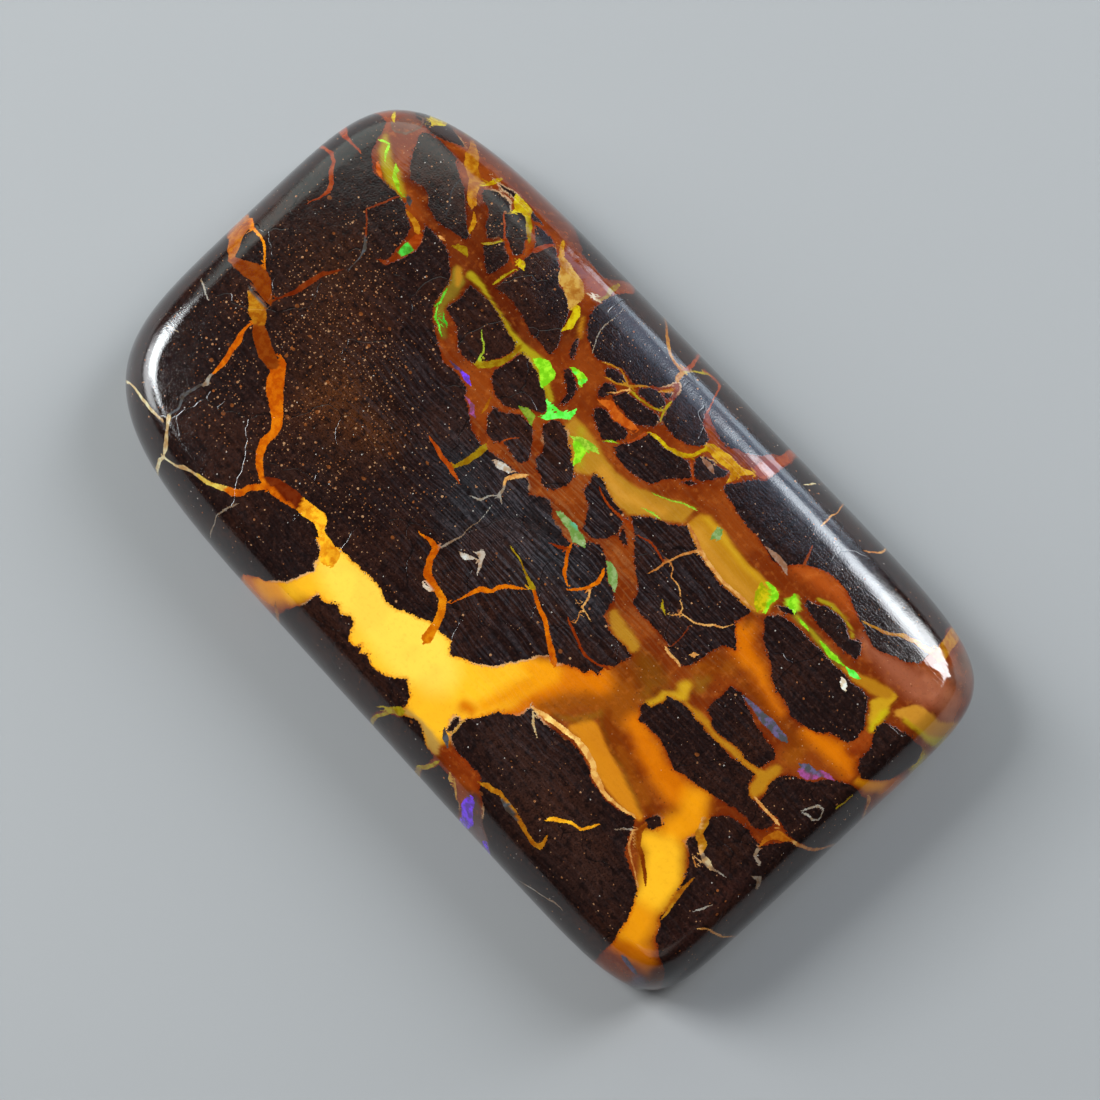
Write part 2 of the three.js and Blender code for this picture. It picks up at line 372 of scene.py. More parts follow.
        (-3.1, 5.14), (-2.7, 5.05), (-2.3, 4.77), (-2.14, 4.4), (-2.1, 3.95), (-2.25, 3.88), (-2.36, 4.3),
        (-2.6, 4.6), (-2.95, 4.77), (-3.2, 4.95)],
    "shield": [
        (-4.9, 4.22), (-4.5, 4.15), (-3.95, 4.1), (-3.4, 3.9), (-2.95, 3.73), (-2.64, 3.5), (-2.45, 3.23),
        (-2.42, 3), (-2.75, 2.85), (-3.1, 2.58), (-3.3, 2.35), (-3.77, 2.17), (-4.3, 2.17), (-4.75, 2.4),
        (-5.05, 2.8), (-4.95, 3.3), (-4.92, 3.9)],
    "heel": [
        (-3.95, 1.86), (-3.5, 1.9), (-3.2, 2.14), (-2.95, 2.3), (-2.4, 2.4), (-2.1, 2.3), (-1.77, 1.9),
        (-1.5, 1.6), (-1.3, 1.3), (-1.36, 1.02), (-1.77, 0.97), (-2.2, 1.07), (-2.7, 1), (-2.86, 0.84),
        (-3.3, 0.88), (-3.6, 1.07), (-3.8, 1.4)],
    "hoof": [
        (-2, 3.14), (-1.77, 3.27), (-1.4, 3.34), (-1.05, 3.2), (-0.77, 2.95), (-0.4, 2.77), (-0.2, 2.55),
        (0.2, 2.42), (0.45, 2.14), (0.5, 1.7), (0.3, 1.3), (0.05, 1.1), (-0.27, 1.03), (-0.5, 1.27),
        (-0.86, 1.36), (-1.14, 1.6), (-1.2, 1.95), (-1.4, 2.3), (-1.77, 2.45), (-2, 2.7)],
    "heart": [
        (0.86, 2.95), (1.3, 2.97), (1.7, 2.8), (2.2, 2.72), (2.77, 2.66), (3.08, 2.55), (3.22, 2.25),
        (3.35, 1.85), (3.2, 1.5), (2.95, 1.14), (2.7, 1.02), (2.23, 1), (2.05, 1.36), (1.7, 1.77),
        (1.23, 2.05), (1.05, 2.5)],
    "arrow": [(3.35, 2.25), (3.6, 2.15), (4, 1.8), (3.7, 1.75), (3.48, 1.85)],
    "crown": [
        (3.14, 2.78), (3.5, 3.1), (3.8, 3.4), (4.1, 3.6), (4.5, 3.73), (4.86, 4.14), (5, 4.25), (5.3, 4.05),
        (5.95, 3.9), (6.3, 3.75), (7, 3.7), (7.6, 3.55), (8.1, 3.6), (8.6, 3.64), (9.3, 3.7), (9.2, 3.3),
        (9.05, 2.86), (9.4, 2.7), (9.77, 2.36), (10, 2.14), (9.5, 1.95), (9.4, 1.5), (9.3, 0.86),
        (9.2, 0.4), (8.95, 0.1), (8.2, 0.14), (7.95, 0.3), (7.5, 0.4), (6.86, 0.36), (6.2, 0.36),
        (5.77, 0.5), (5.7, 0.86), (5.4, 1.1), (4.95, 1.4), (4.5, 1.77), (4.14, 2.1), (3.9, 2.4),
        (3.5, 2.62)],
    "upper_left": [
        (-15.1, 7.8), (-14.8, 8.05), (-13.9, 8.1), (-13.2, 8.05), (-12.9, 7.8), (-12.5, 7.55), (-12, 7.3),
        (-11.5, 7.02), (-11.1, 6.7), (-10.6, 6.35), (-10.1, 6.05), (-10.1, 5.8), (-10.6, 5.7), (-11, 5.57),
        (-11.7, 5.53), (-12.1, 5.6), (-12.5, 5.9), (-13, 6.1), (-13.6, 5.97), (-14.1, 6.2), (-14.4, 6.7),
        (-14.8, 7.2)],
    "upper_wedge": [
        (-11.3, 7.95), (-10.9, 8.3), (-10.2, 8.4), (-9.95, 8.1), (-9.6, 8.45), (-9.2, 8.5), (-8.85, 8.1),
        (-8.5, 7.65), (-8.15, 7.15), (-8.3, 6.85), (-8.6, 6.95), (-9, 7.1), (-9.3, 6.9), (-9.5, 6.5),
        (-9.9, 6.75), (-10.3, 7.3), (-10.6, 7.5), (-11, 7.6)],
    "upper_drop": [
        (-9, 6.95), (-8.6, 6.68), (-8.35, 6.6), (-8.22, 6.3), (-8.3, 5.55), (-8.45, 5.42), (-9, 5.9),
        (-9.45, 6.22), (-9.2, 6.55)],
    "upper_big": [
        (-8.8, 8.5), (-8.4, 8.6), (-7.8, 8.62), (-7.4, 8.45), (-7, 8.1), (-6.6, 7.8), (-6.1, 7.3),
        (-5.7, 7.32), (-5.3, 7.1), (-5, 6.95), (-4.85, 6.7), (-4.6, 6.1), (-4.3, 5.7), (-4.1, 5.4),
        (-4.05, 5), (-4.4, 4.97), (-5.2, 5.1), (-6, 5.22), (-6.8, 5.42), (-7.3, 5.37), (-7.7, 5.3),
        (-7.72, 5.8), (-7.65, 6.5), (-7.6, 6.7), (-7.85, 7), (-7.85, 7.35), (-8, 7.75), (-8.3, 8.05)],
    "under_vein": [
        (-8.45, 4.62), (-8, 4.62), (-7.5, 4.65), (-6.9, 4.6), (-6.3, 4.45), (-5.7, 4.3), (-5.35, 4.3),
        (-5.25, 4), (-5.25, 3.6), (-5.4, 3.1), (-5.6, 2.75), (-5.85, 2.4), (-6.4, 2.35), (-6.9, 2.5),
        (-7.4, 2.9), (-7.9, 3.1), (-8.35, 3.2), (-8.4, 3.6), (-8.35, 4.1)],
    "far_left_rim": [
        (-16.2, 8.4), (-15, 8.15), (-14.2, 8.3), (-13.4, 8.9), (-14.6, 9.3), (-15.6, 9.9), (-16.4, 10.2),
        (-16.9, 9.6)],
    "rim_bar": [
        (-11.7, 8.75), (-11.2, 8.7), (-10.7, 8.85), (-10.3, 9), (-9.9, 8.9), (-9.3, 9), (-8.6, 8.85),
        (-8.9, 8.7), (-9.8, 8.75), (-10.9, 8.6)],
    "far_rim": [
        (-7.2, 9.9), (-6.6, 9.3), (-5.9, 9.3), (-5.3, 9.15), (-4.95, 9.4), (-4.75, 10.2), (-4.7, 11),
        (-4.9, 12.3), (-5.1, 14), (-9.3, 14), (-8.5, 12), (-8.15, 10.8), (-7.7, 10.3)],
    "amber_crumb": [(12.5, -5), (12.65, -4.7), (12.9, -4.55), (13.1, -4.75), (13.05, -5.05), (12.7, -5.2)],
    "tip": [(4.35, -7.85), (4.55, -7.72), (4.7, -7.85), (4.72, -8.3), (4.6, -8.5), (4.45, -8.2)],
    "pocket": [(9.8, 4.7), (10, 4.9), (10.4, 5), (10.5, 4.9), (10.3, 4.72), (10, 4.65)],
}

# Washes of colour in the opal, laid one over the other: the colour, how soft the edge is, and a stroke
# of x, y and width
WASHES = [
    ("dusty", 0.8, [(-17.5, 9, 2.2), (-14.5, 11, 3.4), (-11, 11.4, 4), (-8, 11.6, 4)]),
    ("brick", 0.5, [(-15.2, 7.4, 0.8), (-14.6, 6.6, 1.2)]),
    ("ember", 1, [(-13.4, 6.4, 1.4), (-11.5, 6.4, 2.6), (-10, 5.8, 3), (-8, 4.9, 2.2), (-5.5, 4.9, 1.8),
        (-4.4, 6.4, 1.6)]),
    ("ember", 1, [(-14, 9.5, 1.2), (-11, 10, 1.4), (-8, 10, 1.4), (-5, 9.6, 1)]),
    ("olive", 0.4, [(-15.9, 6.5, 0.2), (-15.4, 6, 0.5), (-14.8, 5.6, 0.5), (-14.2, 5.4, 0.6),
        (-13.5, 5.2, 0.3)]),
    ("burnt", 0.8, [(7.6, -1.9, 1.6), (8.3, -2.6, 1.4), (9, -2.9, 1.2)]),
    ("orange", 0.8, [(-7, -13.5, 2.6), (-5.6, -11.8, 1.8), (-5.1, -11.1, 1.2)]),
    ("honey", 0.8, [(-4.9, -10.8, 1.2), (-4.2, -9.8, 1.2)]),
    ("amber", 0.8, [(-3.9, -9.4, 1), (-3.6, -8.6, 1.2), (-3.6, -7.6, 1.6), (-4.2, -7.1, 0.5)]),
    ("orange", 0.9, [(6.3, -5.6, 1.6), (5.7, -6.6, 1.2), (6.2, -4.6, 1.3), (6.4, -3.6, 1.4),
        (7.2, -2.8, 1.3)]),
    ("amber", 0.8, [(-4, -7.3, 2.2), (-2, -7.6, 3), (0.5, -7.6, 3.6), (2.8, -7.4, 4), (3.9, -6.8, 3),
        (4.4, -5.8, 2.4), (4.9, -4.9, 1.6)]),
    ("amber", 0.8, [(3.9, -8, 2.2), (4, -9, 1.6)]),
    # The amber's middle painted paler and brighter: partly its own yellow, partly a painted glow of light
    # through the opal
    ("butter_glow", 1, [(-3.4, -7.4, 1.4), (-2, -7.4, 2), (0, -7.3, 2.4), (1.5, -7.2, 2.6), (2.6, -7.2, 1.8)]),
    ("honey", 0.6, [(5.1, -4.3, 0.8), (5.7, -3.9, 0.9), (5.2, -5.8, 0.6), (4.9, -6.7, 0.5)]),
    ("orange", 0.5, [(4.35, -7.3, 0.45), (4.7, -7.2, 0.4)]),
    # Painted shade: a brown band of shadow in the amber, between it and the sheet below
    ("burnt", 0.8, [(6.5, -5.1, 0.5), (6.9, -4.4, 0.8), (7.4, -3.7, 0.7), (8.2, -3.15, 0.5)]),
    ("amber_tan", 0.25, [(2.9, -9.25, 0.3), (3.5, -9.15, 0.3), (4.2, -9.25, 0.5), (4.7, -9.5, 0.7)]),
    ("rust", 0.2, [(5.35, -9.2, 0.95), (6.1, -9.25, 1.15), (6.85, -9.2, 0.8)]),
    ("mauve", 0.4, [(7.3, -9.9, 0.6), (7.9, -10.6, 0.9), (8.3, -11.4, 1.2), (8.3, -13.2, 2)]),
    ("orange", 0.7, [(9.4, -2.8, 0.7), (10.4, -3.1, 0.9), (11.6, -3.4, 1), (12.6, -3.4, 1.2)]),
    # Painted shade: a thin brown shadow band between the amber and the sheet
    ("burnt", 0.6, [(8.6, -3.5, 0.3), (9.6, -3.9, 0.45), (10.8, -4.2, 0.5), (11.9, -4.5, 0.5),
        (12.5, -4.6, 0.3)]),
    ("sheet", 0.2, [(7.9, -4.75, 0.3), (8.4, -4.4, 1), (9.3, -4.65, 0.9), (10.3, -4.9, 0.95),
        (11.3, -5.05, 0.7), (12.3, -5.15, 0.3)]),
    ("umber", 0.3, [(7.1, -4.9, 0.12), (7.7, -4.5, 0.22), (8, -4, 0.25), (8.25, -3.5, 0.22)]),
    ("umber", 0.2, [(8.25, -3.5, 0.1), (8.7, -3.85, 0.1), (9.5, -4.15, 0.1), (10.4, -4.35, 0.1),
        (11.3, -4.65, 0.1), (12.2, -4.98, 0.08)]),
    ("honey", 0.9, [(13.3, -3.1, 1), (13.8, -3.8, 1.2), (13.6, -4.6, 1.2)]),
    ("amber", 0.7, [(13.2, -5.5, 0.7), (14, -5.4, 1.3), (14.6, -6.1, 1.5), (14.9, -6.9, 1.3)]),
    ("honey", 0.8, [(15.2, -7.9, 1.4), (15.5, -8.7, 1.2), (16, -8.7, 0.8)]),
    ("orange", 0.6, [(15.4, -9.6, 0.9), (16.4, -8.9, 0.9), (17.2, -9, 0.9)]),
    ("burnt", 0.5, [(17.6, -9, 0.8), (18.6, -9.8, 0.6)]),
    ("brick", 0.7, [(15.6, -10.3, 1), (15.9, -11.3, 1.4), (16.2, -13.5, 2.2)]),
    ("lilac", 0.5, [(17.3, -10, 0.6), (18, -10.8, 1.4), (18.6, -12, 2.2)]),
    ("umber", 0.8, [(7.9, -0.9, 0.8), (8.6, -1, 1.2), (8.9, -1.7, 0.5)]),
    ("brick", 0.4, [(3.9, 1.6, 0.9), (4.8, 1.1, 0.9), (5.5, 0.5, 0.8), (6.2, 0.05, 0.5), (7, 0, 0.5),
        (7.9, -0.15, 0.5), (8.8, -0.2, 0.5)]),
    ("ochre", 0.15, [(5.65, -0.45, 0.4), (6.3, -0.7, 0.6), (7.1, -0.75, 0.55)]),
    ("gold_bright", 0.3, [(9.7, -0.35, 0.45), (9.95, -0.7, 0.4), (9.4, -1.2, 0.3), (9.25, -1.9, 0.25)]),
    ("burnt", 0.6, [(9.6, 0.6, 0.8), (9.8, 1.3, 0.9), (10.4, 1.5, 0.6)]),
    ("umber", 0.3, [(10.05, 0.5, 0.3), (10.15, 0, 0.45), (9.8, 0.2, 0.3)]),
    ("burnt", 0.5, [(11.2, 1.5, 0.4), (12.4, 1.55, 0.4), (13.6, 1.6, 0.5), (14.5, 1.4, 0.8),
        (14.6, 0.8, 0.6)]),
    ("orange", 0.7, [(9.6, 2.9, 0.9), (10.1, 2.4, 1), (11, 2.3, 0.6), (12, 2, 0.5), (13, 1.8, 0.4)]),
    ("orange", 0.7, [(14.4, 2, 0.5), (15.2, 2.3, 0.8), (16, 2.4, 0.9), (16.6, 2.1, 0.4)]),
    ("honey", 0.6, [(17.3, 2.25, 0.3), (18.2, 2.6, 0.5), (19, 3.2, 0.7)]),
    ("orange", 0.7, [(19.3, 3.4, 1), (20.4, 3.8, 1.2), (22.5, 4, 1.6)]),
    ("burnt", 0.4, [(9.35, 3.5, 0.4), (9.55, 3.2, 0.3)]),
    ("rust", 0.4, [(16.1, 2.9, 0.4), (16.1, 3.6, 0.45), (15.95, 4, 0.3)]),
    ("gold", 0.2, [(14.6, 0.1, 0.4), (14.55, -0.5, 0.7), (14.6, -1.1, 0.6), (14.7, -1.35, 0.3)]),
    ("gold", 0.12, [(10.3, -0.78, 0.2), (11.2, -0.75, 0.3), (12.4, -0.75, 0.3), (13.3, -0.6, 0.3),
        (14.2, -0.5, 0.4)]),
    ("brick", 0.3, [(16.3, -1.5, 0.5), (16.1, -2, 0.5), (15.5, -2.2, 0.3), (14.9, -2.2, 0.3),
        (14.3, -2.4, 0.3)]),
    ("flame", 0.8, [(9.2, 6.3, 0.5), (10.2, 6.7, 0.8), (11, 6.85, 0.7), (12, 6.75, 0.4)]),
    ("salmon", 0.8, [(13.2, 6.3, 0.4), (14.5, 6.4, 0.8), (15.8, 6.6, 1.2), (17.2, 7.1, 1.2),
        (18.6, 7.4, 1.2)]),
    ("rose", 0.7, [(16.8, 8.3, 1), (17.8, 8.8, 1.6), (18.8, 9.6, 2)]),
    ("brick", 0.8, [(18.8, 7.9, 1.2), (19.8, 8.8, 1.6), (21.5, 10.5, 2.4)]),
    ("dusty", 0.8, [(16.6, 9.4, 1.2), (17.6, 11, 2)]),
    ("apricot", 0.12, [(16.2, 5.3, 0.35), (16.7, 5.75, 0.8), (17.4, 5.9, 0.9), (18.2, 6, 0.9),
        (19.2, 6.6, 1.2), (20.4, 7.4, 1.4), (22, 8.2, 1.8)]),
    ("lemon", 0.3, [(16.6, 5.25, 0.08), (17.6, 5.45, 0.08), (18.6, 5.7, 0.3), (19.6, 6.3, 0.6),
        (21, 7, 0.6)]),
    ("lemon", 0.5, [(18.9, 4.8, 0.7), (19.7, 5, 0.9), (21.5, 5.3, 1.2)]),
    ("gold_bright", 0.15, [(15.5, 5.55, 0.45), (15.45, 4.95, 0.65), (15.7, 4.4, 0.4)]),
    ("lemon", 0.25, [(15.75, 5, 0.2), (15.8, 4.4, 0.25), (15.95, 4.1, 0.25)]),
    ("gold", 0.2, [(13.5, 4.9, 0.3), (14.2, 5.05, 0.5), (14.75, 5.3, 0.6), (15.3, 5.55, 0.5)]),
    ("olive", 0.1, [(10.7, 6.1, 0.12), (11.2, 6.3, 0.2), (11.8, 6.35, 0.1), (12.4, 6.2, 0.12),
        (12.8, 6, 0.12)]),
    ("bronze", 0.12, [(10.5, 4.92, 0.25), (11.5, 4.9, 0.25), (12.3, 4.88, 0.3), (13.2, 4.9, 0.35)]),
    ("olive", 0.12, [(10.6, 4.92, 0.1), (11.6, 4.9, 0.12), (12.3, 4.88, 0.14)]),
    ("bronze", 0.2, [(-9.4, 4.6, 0.3), (-8.95, 4.3, 0.6), (-8.8, 3.9, 0.6), (-8.75, 3.4, 0.5),
        (-8.5, 3, 0.4), (-8.1, 2.65, 0.4), (-7.6, 2.35, 0.3)]),
    ("ochre", 0.2, [(-9.4, 4.7, 0.2), (-9.1, 4.5, 0.3), (-8.85, 4.2, 0.2)]),
    ("olive", 0.15, [(-8.9, 4.9, 0.25), (-8.1, 4.9, 0.22), (-7.4, 4.74, 0.12), (-6.6, 4.6, 0.14),
        (-5.8, 4.45, 0.22), (-5.2, 4.35, 0.4), (-4.5, 4.35, 0.5), (-3.8, 4.3, 0.75), (-3.2, 3.9, 0.5),
        (-2.6, 3.7, 0.3)]),
    ("gold", 0.2, [(-4.3, 7.1, 0.15), (-4.1, 6.8, 0.2), (-3.85, 6.4, 0.15)]),
]

# Patches of colour in the opal with sharper edges: the colour, and an outline
PATCHES = [
    ("ochre", [(-1.5, 4), (-0.8, 3.95), (-0.2, 3.85), (0.6, 3.72), (1.2, 3.66), (2, 3.72), (2.6, 3.85),
        (3.1, 4.1), (3.6, 4.42), (4, 4.68), (4.7, 5), (4.75, 4.2), (4.4, 3.8), (4, 3.5), (3.6, 3.3),
        (3, 2.7), (2, 2.6), (0.9, 2.85), (0.3, 2.3), (-0.1, 2.3), (-1.4, 3.3)]),
    ("gold", [(4.95, 5), (5.3, 5.2), (6.2, 5.15), (7, 5), (8, 4.98), (8.9, 5.05), (9.5, 5.15), (9.65, 4.7),
        (9.75, 4.2), (9.6, 3.85), (9, 3.6), (7, 3.6), (5.3, 3.95), (4.9, 4.2)]),
    # A pinkish patch at the far left corner: partly pinkish opal, partly a painted reflection of a softbox
    # there
    ("rose", [(-16.4, 7.2), (-16.35, 8.4), (-15.8, 8.55), (-15.35, 8), (-15.4, 7.2), (-15.9, 6.95)]),
    ("lime", [(9.85, 5.1), (10, 5.55), (10.25, 5.45), (10.5, 5.2), (10.4, 5), (10, 4.92)]),
]

# Glows inside the patches, in the same form as the washes
GLOWS = [
    ("olive", 0.5, [(-0.8, 3.75, 0.2), (-0.4, 3.3, 0.25), (0.2, 2.7, 0.2)]),
    ("apricot", 0.6, [(1, 3.25, 0.35), (2.2, 3.15, 0.5), (3.2, 3.45, 0.4), (3.9, 3.9, 0.3)]),
    ("apricot", 0.5, [(5.4, 4.35, 0.4), (6.6, 4.1, 0.3), (7.8, 4.05, 0.3), (8.8, 4.1, 0.25)]),
    ("gold_bright", 0.4, [(5.3, 5, 0.1), (6.4, 4.95, 0.15), (8, 4.8, 0.15), (9.2, 4.9, 0.15)]),
]

